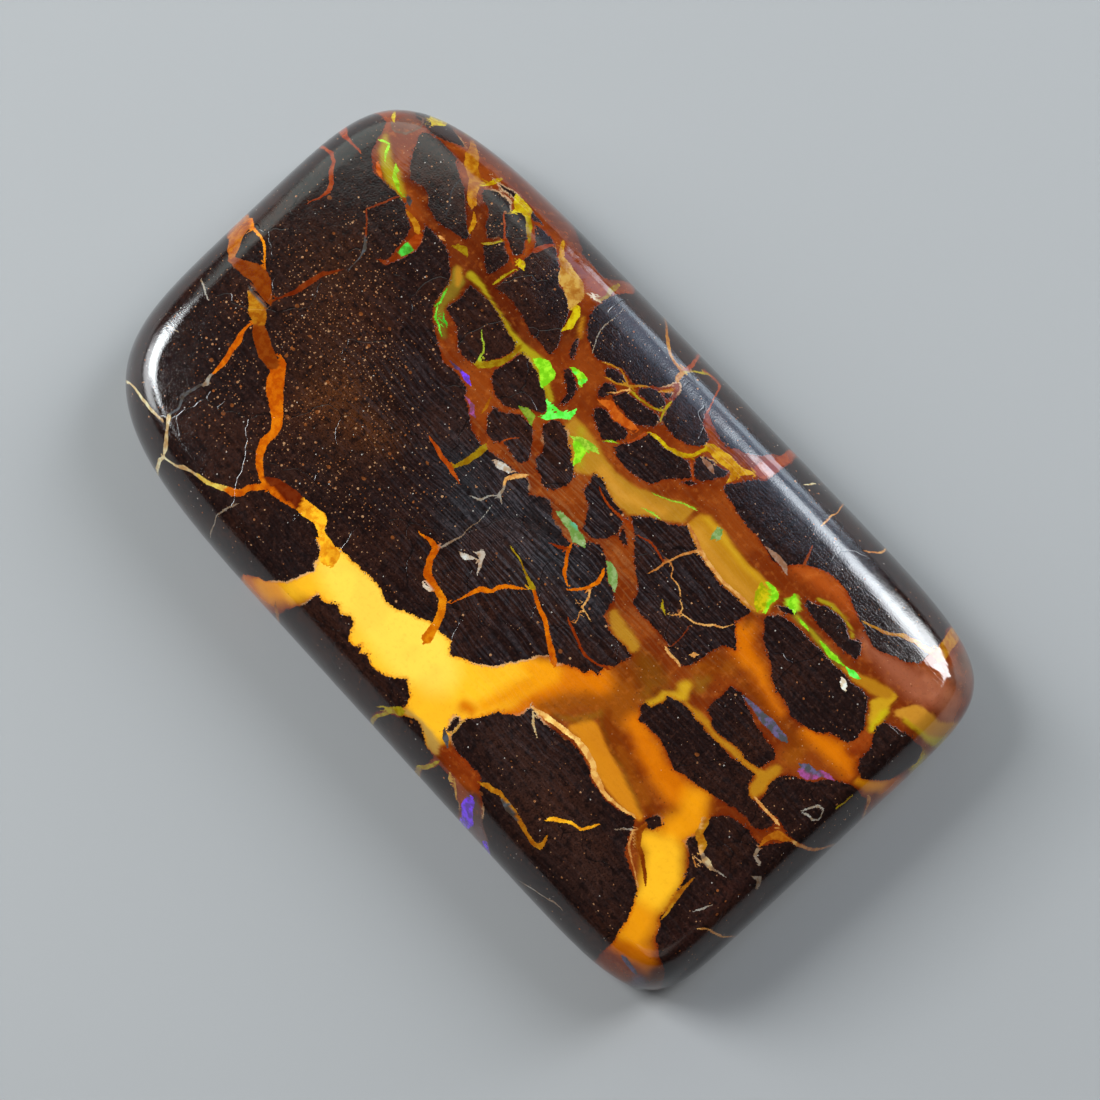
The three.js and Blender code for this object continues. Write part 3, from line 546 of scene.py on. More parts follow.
# Opal in cracks and along edges: the colour, and a stroke of x, y and width
VEINS = [
    ("copper", [(-22, -0.5, 1.3), (-19.5, -0.45, 1.1), (-18, -0.5, 1), (-17.5, -0.7, 1.3),
        (-17.05, -1.1, 0.8), (-16.6, -1.5, 0.55), (-16.1, -1.88, 0.3)]),
    ("honey", [(-17.4, -0.1, 0.3), (-16.6, -0.35, 0.13), (-16, -0.4, 0.12), (-15.5, -0.55, 0.12),
        (-15.1, -0.85, 0.1), (-14.7, -1.2, 0.1)]),
    ("burnt", [(-16.2, -1.88, 0.25), (-15.7, -1.75, 0.5), (-15.3, -1.65, 0.75), (-14.8, -1.5, 0.8),
        (-14.4, -1.6, 0.8), (-14, -1.8, 0.5), (-13.5, -1.95, 0.15)]),
    ("dark_rust", [(-12.65, 1.05, 0.08), (-12.95, 0.5, 0.2), (-13.08, -0.3, 0.25), (-13.2, -1, 0.2),
        (-13.4, -1.5, 0.1), (-13.5, -1.9, 0.08)]),
    ("burnt", [(-13.2, -2.9, 0.5), (-12.5, -3.3, 0.7), (-12, -3.5, 0.7), (-11.5, -3.6, 0.6),
        (-11.2, -3.7, 0.5)]),
    ("gold", [(-14.5, -2.3, 0.1), (-14, -2.4, 0.45), (-13.6, -2.6, 0.8), (-13.2, -2.85, 0.6),
        (-12.95, -3.05, 0.3)]),
    ("slate", [(-14.6, -2.2, 0.1), (-14, -2.18, 0.17), (-13.5, -2.15, 0.12)]),
    ("orange", [(-11.4, -3.15, 0.12), (-11.15, -3.3, 0.3), (-11, -3.75, 0.7), (-10.6, -4.25, 0.72),
        (-10.1, -4.6, 0.6), (-9.7, -4.9, 0.5), (-9.4, -5.2, 0.42), (-9.22, -5.5, 0.32), (-9.22, -6, 0.34),
        (-8.95, -6.5, 0.36), (-8.6, -6.8, 0.32), (-8.2, -7.05, 0.25), (-7.9, -7.12, 0.2)]),
    ("dark_rust", [(-8, -6.95, 0.2), (-7.6, -6.85, 0.42), (-7, -6.76, 0.5), (-6.3, -6.68, 0.55)]),
    ("amber", [(-6.5, -6.7, 0.5), (-5.8, -6.6, 0.62), (-5.25, -6.55, 0.62), (-4.9, -6.78, 0.35),
        (-4.6, -6.9, 0.3), (-4.3, -7, 0.5), (-3.9, -7.2, 0.9)]),
    ("orange", [(-8, -7.12, 0.16), (-7.4, -7.15, 0.18), (-6.9, -7.1, 0.16), (-6.4, -7, 0.06)]),
    ("orange", [(-7.7, -7.15, 0.18), (-8.05, -7.5, 0.3), (-8.28, -7.8, 0.26), (-8.3, -8.1, 0.3),
        (-8.6, -8.4, 0.3), (-8.8, -8.48, 0.25)]),
    ("lemon_pale", [(-8.75, -8.45, 0.22), (-9, -8.58, 0.25), (-9.4, -8.78, 0.17), (-9.7, -8.92, 0.25),
        (-10.1, -9.05, 0.18)]),
    ("pale", [(-10, -9.05, 0.15), (-10.4, -9.2, 0.12), (-10.75, -9.42, 0.26), (-11.1, -9.7, 0.14),
        (-11.6, -9.85, 0.1), (-11.95, -9.95, 0.14), (-12.05, -10.3, 0.2), (-12.1, -10.8, 0.26),
        (-12.3, -11.6, 0.22), (-12.5, -12.8, 0.15)]),
    ("pale", [(-11.95, -9.9, 0.1), (-12.05, -9.5, 0.28), (-12.3, -9, 0.24), (-12.5, -8.6, 0.14),
        (-12.68, -8.3, 0.26), (-12.8, -8.1, 0.12)]),
    ("slate", [(-12.8, -8.1, 0.12), (-12.75, -7.7, 0.1), (-13, -7.1, 0.16), (-12.88, -6.6, 0.14),
        (-12.8, -6.3, 0.12)]),
    ("grey", [(-12.75, -6.3, 0.12), (-12.72, -6.1, 0.26), (-12.85, -5.85, 0.14), (-12.86, -5.6, 0.1)]),
    ("orange", [(-12.86, -5.7, 0.1), (-12.88, -5, 0.25), (-13, -4.5, 0.3), (-13.15, -4, 0.27),
        (-13.3, -3.6, 0.15), (-13.4, -3.2, 0.1)]),
    ("pale", [(-12.85, -8.65, 0.14), (-13.5, -8.75, 0.2), (-14.5, -8.8, 0.15), (-15.2, -8.8, 0.12)]),
    ("pale", [(-15.1, -8.8, 0.12), (-15.7, -8.9, 0.12), (-16.4, -9.2, 0.15), (-17.2, -9.55, 0.12),
        (-18, -10, 0.16), (-18.8, -10.6, 0.2), (-20, -11.4, 0.2)]),
    ("grey", [(-8.1, -8.55, 0.06), (-8.2, -9, 0.1), (-8.35, -9.7, 0.07), (-8.35, -10.5, 0.05),
        (-8.28, -11.2, 0.08)]),
    ("rust", [(-18.4, 4.4, 0.2), (-17.6, 4.35, 0.12), (-17, 4.3, 0.16), (-16.6, 4.1, 0.16),
        (-16.2, 3.7, 0.24), (-15.8, 3.4, 0.2), (-15.58, 3, 0.22), (-15.6, 2.5, 0.08),
        (-15.75, 2.05, 0.04)]),
    ("rust", [(-22, 6.3, 1), (-19.8, 6.1, 0.8), (-18.4, 5.6, 0.5), (-17.6, 5.35, 0.3), (-16.8, 5.3, 0.13),
        (-16, 5.2, 0.1)]),
    ("dark_rust", [(-13.48, 5, 0.12), (-13.6, 4.4, 0.12), (-13.88, 3.8, 0.08), (-13.95, 3.6, 0.08),
        (-13.5, 3.3, 0.08), (-13, 2.8, 0.1)]),
    ("slate", [(-13, 2.8, 0.1), (-12.6, 2.42, 0.16), (-12.42, 2, 0.06), (-12.4, 1.3, 0.05)]),
    ("orange", [(-2.05, -3.95, 0.06), (-1.6, -3.8, 0.14), (-1.15, -3.85, 0.28), (-0.95, -4.35, 0.24),
        (-0.6, -4.8, 0.3), (0, -4.97, 0.24)]),
    ("honey", [(0.05, -4.97, 0.24), (0.6, -5.05, 0.28), (0.95, -5.45, 0.34), (1.15, -5.95, 0.36),
        (1.3, -6.6, 0.45)]),
    ("orange", [(5.45, -3.5, 0.3), (5.1, -3.28, 0.28), (4.6, -2.98, 0.2), (4, -2.62, 0.22),
        (3.5, -2.45, 0.17), (2.9, -2.2, 0.14), (2.6, -2.1, 0.1)]),
    ("olive", [(2.7, -2.12, 0.25), (2.3, -2, 0.13), (1.9, -1.88, 0.08), (1.5, -1.72, 0.07),
        (0.95, -1.62, 0.06)]),
    ("orange", [(2.5, -2.42, 0.1), (2.1, -2.68, 0.14), (1.8, -3, 0.17), (1.7, -3.4, 0.15),
        (1.3, -3.62, 0.24), (1.15, -4, 0.2), (1.02, -4.5, 0.08), (0.95, -4.9, 0.06)]),
    ("rust", [(4.6, -1.95, 0.06), (5.1, -2.15, 0.14), (5.7, -2.35, 0.12), (6.2, -2.42, 0.14),
        (6.7, -2.3, 0.1), (7.1, -2.1, 0.12)]),
    ("orange", [(2.5, 0.2, 0.15), (2.6, -0.12, 0.15), (2.85, -0.4, 0.17), (3.15, -0.75, 0.17),
        (3.5, -1, 0.08)]),
    ("rust", [(2.5, 0.05, 0.1), (2.2, -0.15, 0.17), (1.85, -0.3, 0.06)]),
    ("orange", [(4.15, 0.4, 0.17), (4.3, 0, 0.2), (4.2, -0.4, 0.14), (4, -0.8, 0.14), (3.7, -1.1, 0.1)]),
    ("tan", [(4.2, -0.4, 0.1), (4.45, -0.75, 0.1), (4.55, -1.1, 0.08), (4.75, -1.5, 0.06),
        (4.9, -1.9, 0.05)]),
    ("tan", [(4.2, -1.2, 0.04), (4.7, -1.18, 0.05), (5.2, -1.25, 0.05)]),
    ("orange_band", [(-4.7, -0.98, 0.1), (-4.2, -1.05, 0.22), (-3.8, -1.2, 0.24), (-3.2, -1.22, 0.22),
        (-2.8, -1.3, 0.13), (-2.5, -1.4, 0.05)]),
    ("olive", [(-2.9, 0.35, 0.3), (-2.9, -0.1, 0.28), (-2.95, -0.5, 0.25), (-3.1, -0.9, 0.17),
        (-3.2, -1.15, 0.08)]),
    ("tan", [(-0.95, 0.75, 0.2), (-1.15, 0.5, 0.2), (-1.35, 0.15, 0.16), (-1.25, -0.1, 0.1)]),
    ("grey", [(-1.2, -0.1, 0.08), (-1.05, -0.5, 0.15), (-0.75, -0.65, 0.06)]),
    ("grey", [(-1.05, -0.6, 0.06), (-1.35, -0.85, 0.08), (-1.42, -1.15, 0.13), (-1.75, -1.4, 0.06)]),
    ("grey", [(-0.95, -1.1, 0.03), (-0.8, -1.9, 0.04), (-0.8, -2.7, 0.05), (-1, -3.4, 0.12),
        (-1.1, -3.8, 0.06)]),
    ("amber", [(9.9, -7.85, 0.14), (10.1, -7.65, 0.22), (10.5, -7.35, 0.13), (10.9, -7.2, 0.1),
        (11.1, -7.2, 0.13), (11.25, -6.9, 0.14), (11.4, -6.58, 0.1)]),
    ("gold", [(7, -8.95, 0.14), (7.3, -8.75, 0.2), (7.8, -8.6, 0.22), (8.1, -8.55, 0.1), (8.9, -8.6, 0.12),
        (9.3, -8.75, 0.2), (9.7, -8.85, 0.22), (10.2, -8.95, 0.22), (10.5, -8.8, 0.24),
        (10.4, -8.45, 0.12)]),
    ("slate", [(8.1, -8.65, 0.15), (8.5, -8.7, 0.32), (8.9, -8.7, 0.2), (9.15, -8.8, 0.06)]),
    ("tan", [(14.05, -3.4, 0.1), (14.3, -3.85, 0.2), (14.75, -4.15, 0.26), (15, -4.35, 0.1)]),
    ("grey", [(14.95, -4.3, 0.1), (15.4, -4.45, 0.25), (15.8, -4.4, 0.08), (16.2, -4.25, 0.06)]),
    ("tan", [(14.9, -4.7, 0.06), (15.15, -4.8, 0.08)]),
    ("gold", [(15.45, -5.3, 0.07), (15.5, -5.8, 0.16), (15.6, -6.3, 0.17), (15.75, -6.9, 0.14),
        (15.8, -7.2, 0.05)]),
    ("copper", [(16.3, -2.5, 0.08), (16.25, -2, 0.25), (16.45, -1.6, 0.36), (17, -1.42, 0.18),
        (17.4, -1.32, 0.08)]),
    ("tan", [(16.9, -1.45, 0.08), (17.5, -1.3, 0.16), (18.05, -1.17, 0.13), (18.65, -0.9, 0.13),
        (19.1, -0.58, 0.15), (19.7, -0.02, 0.16), (20.5, 0.25, 0.16), (23, 0.5, 0.16)]),
    ("tan", [(14.9, -1.28, 0.14), (15.5, -1.32, 0.12), (16.1, -1.32, 0.16)]),
    ("tan", [(17.2, -6.4, 0.1), (17.6, -6.15, 0.07), (18.2, -6, 0.11), (18.9, -5.75, 0.08),
        (19.6, -5.45, 0.1), (20.6, -5.1, 0.1)]),
    ("grey", [(16.45, -6, 0.05), (16.6, -5.75, 0.12), (16.7, -5.4, 0.05)]),
    ("olive", [(17.6, 0.95, 0.17), (17.75, 1.25, 0.1), (17.7, 1.6, 0.13)]),
    ("tan", [(18.7, 2.2, 0.2), (19.2, 2.15, 0.2), (19.6, 1.95, 0.14), (21, 1.7, 0.1)]),
    ("tan", [(6, 3.9, 0.1), (5.8, 3.4, 0.12), (5.6, 2.9, 0.1), (5.5, 2.5, 0.12), (5.45, 2, 0.1),
        (5.35, 1.75, 0.05)]),
    ("rust", [(4, 2.5, 0.05), (4.4, 2.65, 0.1), (5, 2.6, 0.08), (5.5, 2.5, 0.08)]),
    ("tan", [(5.6, 2.7, 0.06), (5.9, 2.6, 0.06), (6.1, 2.35, 0.05), (6.5, 2.3, 0.05), (6.85, 2.1, 0.05)]),
    ("tan", [(7.1, 1.9, 0.06), (7.4, 1.75, 0.06), (7.5, 1.5, 0.08), (7.3, 1.25, 0.05)]),
    ("tan", [(7.5, 1.55, 0.07), (8, 1.7, 0.07), (8.4, 1.9, 0.08), (8.6, 2.1, 0.1), (9, 2.4, 0.07),
        (9.1, 2.7, 0.05)]),
    ("dark_rust", [(8.05, 1.4, 0.06), (8.1, 0.9, 0.05), (8.15, 0.2, 0.05)]),
    ("rust", [(1.5, 2.6, 0.07), (2.2, 2.45, 0.1), (3, 2.5, 0.13), (3.5, 2.5, 0.25)]),
    ("brick", [(9, 7.35, 0.06), (9.12, 7, 0.1), (9.3, 6.6, 0.12)]),
    ("ochre", [(12.6, 6.78, 0.1), (13.1, 7, 0.12), (13.6, 7.25, 0.12), (14.1, 7.7, 0.2), (14.8, 7.95, 0.22),
        (15.5, 8.2, 0.4)]),
    ("gold", [(-2.9, 14, 0.1), (-2.8, 12, 0.12), (-2.5, 10.9, 0.12), (-1.9, 9.85, 0.13),
        (-1.35, 9.25, 0.18), (-0.9, 8.95, 0.17), (-0.4, 8.75, 0.14), (0.05, 8.7, 0.2), (0.2, 8.3, 0.25)]),
    ("rust", [(-0.85, 14, 0.15), (-0.7, 12, 0.2), (-0.4, 11, 0.17), (-0.15, 10, 0.17), (0, 9.3, 0.2),
        (0.05, 8.8, 0.2)]),
    ("olive", [(0.1, 8.8, 0.14), (0.3, 9.3, 0.12), (0.6, 9.9, 0.17)]),
    ("rust", [(0.5, 9.9, 0.2), (0.9, 10, 0.25), (1.3, 10, 0.17), (1.55, 9.3, 0.08), (1.8, 8.7, 0.08),
        (2, 8.15, 0.12)]),
    ("rust", [(5.25, 14, 0.3), (5.3, 11, 0.3), (5.45, 9.8, 0.45), (5.45, 9.2, 0.5), (5.4, 8.6, 0.6),
        (5.3, 8.1, 0.7)]),
    ("tan", [(8.1, 14, 0.06), (8.2, 12, 0.07), (8.38, 10.5, 0.07), (8.5, 9.5, 0.06), (8.55, 8.5, 0.08)]),
    ("tan", [(10.7, 14, 0.08), (10.85, 11.5, 0.1), (10.9, 10.1, 0.1), (10.7, 9.5, 0.1), (10.5, 9.2, 0.06)]),
    ("gold", [(15.4, 14, 0.6), (15.5, 11.8, 0.55), (15.4, 10, 0.6), (15.5, 9.2, 0.6), (15.6, 8.4, 0.6)]),
    ("grey", [(-3.6, 8.7, 0.03), (-3.45, 7.5, 0.05), (-3.35, 6.9, 0.05), (-3, 6.4, 0.05)]),
    ("lemon", [(1.2, 5.8, 0.14), (1.7, 5.9, 0.17), (2.2, 5.92, 0.17), (2.7, 6.15, 0.22), (3, 6.45, 0.2),
        (3.1, 6.85, 0.17), (3.15, 7.2, 0.3)]),
    ("gold_bright", [(3.1, 7.15, 0.3), (3.6, 7.2, 0.55), (4.1, 7.3, 0.55), (4.7, 7.4, 0.5),
        (5.1, 7.65, 0.2)]),
    ("gold_bright", [(4.55, 7.4, 0.4), (4.7, 7, 0.35), (4.7, 6.75, 0.15)]),
    ("ochre", [(-2.35, 6.42, 0.07), (-2, 6.62, 0.09), (-1.6, 6.7, 0.08), (-1.2, 6.55, 0.1),
        (-1, 6.4, 0.1)]),
    ("ochre", [(-1.8, 6.07, 0.07), (-1.3, 6.22, 0.09), (-0.9, 6.5, 0.14), (-0.7, 6.8, 0.12),
        (-0.4, 7.05, 0.1)]),
    ("olive", [(-0.75, 6.38, 0.12), (-0.2, 6.43, 0.1), (0.3, 6.5, 0.1), (0.7, 6.68, 0.1)]),
    ("olive", [(0.75, 7.25, 0.12), (0.8, 7, 0.12), (0.85, 6.7, 0.1), (1, 6.45, 0.07)]),
    ("gold", [(0.1, 7.35, 0.1), (0.3, 7.6, 0.2), (0.4, 7.8, 0.1)]),
    ("tan", [(-0.8, 6.35, 0.1), (-1, 6, 0.09), (-1.25, 5.7, 0.07)]),
    ("rust", [(0.6, 5.1, 0.1), (0.85, 4.75, 0.1), (0.95, 5.2, 0.14), (1, 5.6, 0.2)]),
    ("lime", [(0.15, 4.15, 0.06), (0.35, 4.35, 0.12), (0.55, 4.45, 0.05)]),
    ("rust", [(3.1, 6.2, 0.1), (3.4, 6, 0.12), (3.75, 5.75, 0.12)]),
    ("orange_band", [(-1.2, 5.2, 0.2), (-0.85, 5.4, 0.4), (-0.4, 5.27, 0.42), (0.1, 5.3, 0.42),
        (0.5, 5.4, 0.3)]),
    ("rust", [(-9.9, 7.8, 0.08), (-9.5, 7.45, 0.08), (-9.1, 7.1, 0.1), (-8.9, 7.05, 0.15),
        (-8.5, 6.8, 0.14), (-8.15, 6.6, 0.12)]),
    ("olive", [(-9.45, 6.22, 0.12), (-9.2, 6.55, 0.12), (-9, 6.95, 0.08)]),
    ("rust", [(-7.58, 8.42, 0.12), (-7.7, 8.1, 0.25), (-7.85, 7.7, 0.25), (-8, 7.5, 0.15)]),
    ("lemon", [(-10.25, 8.85, 0.3), (-9.9, 8.75, 0.65), (-9.5, 8.75, 0.6), (-9.25, 8.6, 0.35)]),
    ("lemon", [(-9.8, 8.5, 0.25), (-9.75, 8.15, 0.1)]),
    ("olive", [(-9.2, 8.6, 0.25), (-8.9, 8.3, 0.25), (-8.6, 7.95, 0.22), (-8.4, 7.75, 0.12)]),
    ("lemon", [(-11.35, 8.95, 0.17), (-11.32, 8.5, 0.28), (-11.4, 8.15, 0.15)]),
    ("gold", [(-13.7, 9.7, 0.2), (-13.2, 9.2, 0.4), (-12.9, 8.75, 0.6), (-12.5, 8.3, 0.6),
        (-11.9, 7.95, 0.6), (-11.55, 7.5, 0.5), (-11.1, 7.1, 0.35)]),
    ("gold_bright", [(-10.7, 6.85, 0.1), (-10.45, 6.65, 0.22), (-10.3, 6.35, 0.18), (-10.22, 6.15, 0.06)]),
    ("lemon", [(-7.9, 6.85, 0.2), (-7.72, 6.78, 0.36), (-7.55, 6.75, 0.15)]),
    ("olive", [(-7.8, 6.4, 0.08), (-7.85, 5.9, 0.12), (-7.9, 5.45, 0.12)]),
    ("gold_bright", [(-7.5, 9, 0.15), (-7.3, 8.75, 0.2), (-7, 8.45, 0.25)]),
    ("amber_tan", [(-6.9, 8.3, 0.3), (-6.5, 8.15, 0.55), (-6.1, 7.85, 0.9), (-5.7, 7.8, 0.95),
        (-5.3, 7.55, 0.8), (-5.1, 7.2, 0.4)]),
    ("lemon", [(-4.8, 7.2, 0.25), (-4.6, 6.95, 0.36), (-4.45, 6.45, 0.38), (-4.5, 6.1, 0.1)]),
    ("olive", [(-4.6, 9.6, 0.2), (-4.55, 9, 0.27), (-4.4, 8.6, 0.15), (-4.5, 8.2, 0.12)]),
    ("lemon", [(-17, 10.6, 0.4), (-16.4, 10.45, 1), (-15.9, 9.8, 1), (-15.4, 9.1, 0.8),
        (-15.25, 8.7, 0.3)]),
    ("olive", [(-15.5, 11.6, 0.7), (-14.9, 10.9, 0.5), (-14.3, 10.1, 0.3)]),
    ("lemon", [(-17.1, 7.95, 0.12), (-16.75, 7.6, 0.22), (-16.4, 7.35, 0.1)]),
    ("lemon", [(-19.2, 9.2, 0.2), (-18.8, 8.95, 0.3), (-18.4, 8.75, 0.15)]),
    ("lime", [(-15.85, 6.2, 0.15), (-15.5, 6.35, 0.1), (-15.3, 6, 0.14), (-15.05, 5.75, 0.06)]),
    ("lime", [(-14.6, 5.85, 0.1), (-14.4, 5.7, 0.22), (-14.25, 5.5, 0.14), (-13.95, 5.4, 0.24),
        (-13.7, 5.2, 0.1), (-13.35, 5.17, 0.06)]),
    ("orange_band", [(-15.1, 5.35, 0.17), (-14.85, 5.2, 0.22), (-14.55, 5.1, 0.1)]),
    ("olive", [(-10.15, 5.25, 0.15), (-9.9, 5.4, 0.4), (-9.7, 5.35, 0.2)]),
    ("gold", [(-12.6, 4.85, 0.15), (-12.1, 4.75, 0.3), (-11.75, 4.55, 0.25)]),
    ("green", [(-11.42, 3.88, 0.5), (-11.42, 3.62, 0.46), (-11.45, 3.38, 0.25)]),
    ("rust", [(-11.45, 4.35, 0.45), (-11.4, 4, 0.5)]),
    ("dark_rust", [(-11.45, 3.3, 0.3), (-11.5, 2.95, 0.2), (-11.55, 2.65, 0.25), (-11.85, 2.55, 0.05)]),
    ("olive", [(-5.15, 4.35, 0.2), (-5.1, 3.7, 0.24), (-5.15, 3.2, 0.3), (-5.45, 2.75, 0.24),
        (-5.7, 2.55, 0.3)]),
    ("lime_thin", [(-6.7, 3.6, 0.05), (-6.2, 3.3, 0.08), (-5.95, 3, 0.1), (-5.8, 2.65, 0.12)]),
    ("gold", [(-4.3, 1.9, 0.05), (-4.15, 1.6, 0.17), (-4.1, 1.35, 0.1)]),
    ("rust", [(-2.25, 1.6, 0.05), (-2.5, 1.3, 0.07), (-2.6, 1, 0.1)]),
    ("gold", [(-4.2, -10.9, 0.1), (-4, -11.5, 0.2), (-3.95, -12.2, 0.25)]),
    ("olive", [(2.7, -9.55, 0.45), (2.4, -9.95, 0.3), (2.3, -10.4, 0.16), (2.05, -11, 0.2),
        (1.92, -11.6, 0.22), (1.85, -12.4, 0.2)]),
    ("olive", [(2.3, -10, 0.2), (2.05, -10.15, 0.08), (1.9, -10.4, 0.08)]),
    ("grey", [(10.9, -11.4, 0.1), (11.6, -10.9, 0.08), (12.4, -10.4, 0.1), (12.85, -10.35, 0.05)]),
    ("tan", [(12.5, -5.7, 0.1), (12.75, -6.2, 0.1), (13.3, -6.5, 0.08), (13.9, -6.85, 0.07),
        (14.2, -7.05, 0.1)]),
    ("grey", [(12, -6.15, 0.05), (12.3, -5.85, 0.07), (12.5, -5.7, 0.1)]),
    ("peach", [(6.35, -5.35, 0.1), (6.8, -5.2, 0.2), (7.5, -5.05, 0.22), (8.2, -4.97, 0.2),
        (8.9, -4.97, 0.24), (9.5, -5.08, 0.24), (10, -5.38, 0.24), (10.6, -5.58, 0.2), (11.3, -5.5, 0.15),
        (12.1, -5.3, 0.1)]),
    ("tan", [(5, 4.3, 0.1), (5.8, 4.05, 0.14), (6.6, 3.85, 0.16), (7.6, 3.72, 0.16), (8.4, 3.75, 0.14),
        (9.2, 3.85, 0.1)]),
    ("silver", [(0.1, -2.85, 0.1), (0.3, -2.7, 0.25), (0.5, -3, 0.2), (0.75, -3.35, 0.06)]),
    ("silver", [(0.2, -3.05, 0.1), (-0.05, -3.25, 0.25), (-0.35, -3.3, 0.06)]),
    ("silver", [(-2.15, 0.3, 0.2), (-1.85, 0.35, 0.35), (-1.55, 0.45, 0.3)]),
    ("flint", [(7.8, 5.98, 0.08), (8.3, 6.02, 0.25), (8.75, 6, 0.3), (9.05, 5.85, 0.12)]),
    ("flint", [(3.45, 6.6, 0.2), (3.75, 6.62, 0.3), (3.95, 6.55, 0.2)]),
    ("white", [(13.85, 4.45, 0.28), (13.95, 4.4, 0.28)]),
    ("white", [(-4.85, 8.12, 0.15), (-4.65, 8.05, 0.18), (-4.5, 8.15, 0.08)]),
    ("white", [(-0.35, -5.2, 0.14), (-0.1, -5.18, 0.16)]),
    ("grey", [(16.45, -0.2, 0.08), (16.7, 0.35, 0.1), (17.05, 0.42, 0.08), (17.4, 0.1, 0.08),
        (17.1, -0.15, 0.1), (16.6, -0.25, 0.1)]),
    ("grey", [(17.1, -3.45, 0.06), (17.5, -3.3, 0.25), (17.85, -3.5, 0.2)]),
    ("grey", [(16.35, -2.6, 0.2), (16.45, -2.8, 0.12), (16.8, -2.9, 0.12)]),
    ("pale", [(15.3, -4.4, 0.3), (15.6, -4.45, 0.2)]),
    ("slate", [(-13.1, 5.3, 0.2), (-12.85, 5.2, 0.2)]),
    ("tan", [(-10.9, 5.15, 0.12), (-10.7, 5.15, 0.12)]),
    ("tan", [(9, 0.8, 0.2), (9.05, 0.85, 0.2)]),
    ("tan", [(8.1, 0.12, 0.1), (8.5, 0.12, 0.12), (8.9, 0.12, 0.1)]),
    ("olive", [(6.65, 1.35, 0.08), (6.85, 1.2, 0.12), (7.05, 1.15, 0.06)]),
    ("pale", [(6.5, -5.5, 0.1), (6.8, -5.8, 0.12), (7.2, -6.05, 0.04)]),
    ("pale", [(7, 9.9, 0.12), (7, 9.6, 0.1), (6.85, 9.3, 0.04)]),
    ("amber_tan", [(4.8, -7.6, 0.08), (4.78, -8, 0.12), (4.8, -8.3, 0.1)]),
    ("slate", [(4.5, -8.5, 0.1), (4.8, -8.7, 0.3), (5, -8.85, 0.15)]),
    ("olive", [(5.2, -10, 0.15), (5, -10.5, 0.2), (4.85, -11, 0.22), (4.65, -11.6, 0.25), (4.6, -14, 0.3)]),
    ("amber_tan", [(5.9, -9.9, 0.15), (6, -10.15, 0.2), (6.1, -10.3, 0.08)]),
    ("amber_tan", [(6.2, -9.95, 0.12), (6.45, -10.3, 0.14), (6.7, -10.65, 0.12)]),
    ("burnt", [(12.7, -5.2, 0.2), (12.75, -5.6, 0.25), (13.1, -5.95, 0.2), (13.6, -6.15, 0.18),
        (14, -6.45, 0.16), (14.3, -6.7, 0.12)]),
    ("gold", [(14.2, -3.4, 0.25), (14.35, -3.9, 0.3), (14.75, -4.1, 0.35), (14.9, -4.25, 0.2)]),
    # The darker rim round the pinkish patch at the far left corner, where the painted reflection lies
    ("dusty", [(-16.35, 8.5, 0.1), (-15.85, 8.6, 0.12), (-15.35, 8.1, 0.1), (-15.4, 7.2, 0.12),
        (-15.9, 6.95, 0.1), (-16.4, 7.2, 0.1)]),
    ("grey", [(-16.4, -3.4, 0.08), (-15.9, -3.55, 0.1), (-15.4, -3.75, 0.06)]),
    ("grey", [(-15.8, -5.7, 0.07), (-15.3, -5.6, 0.08)]),
]

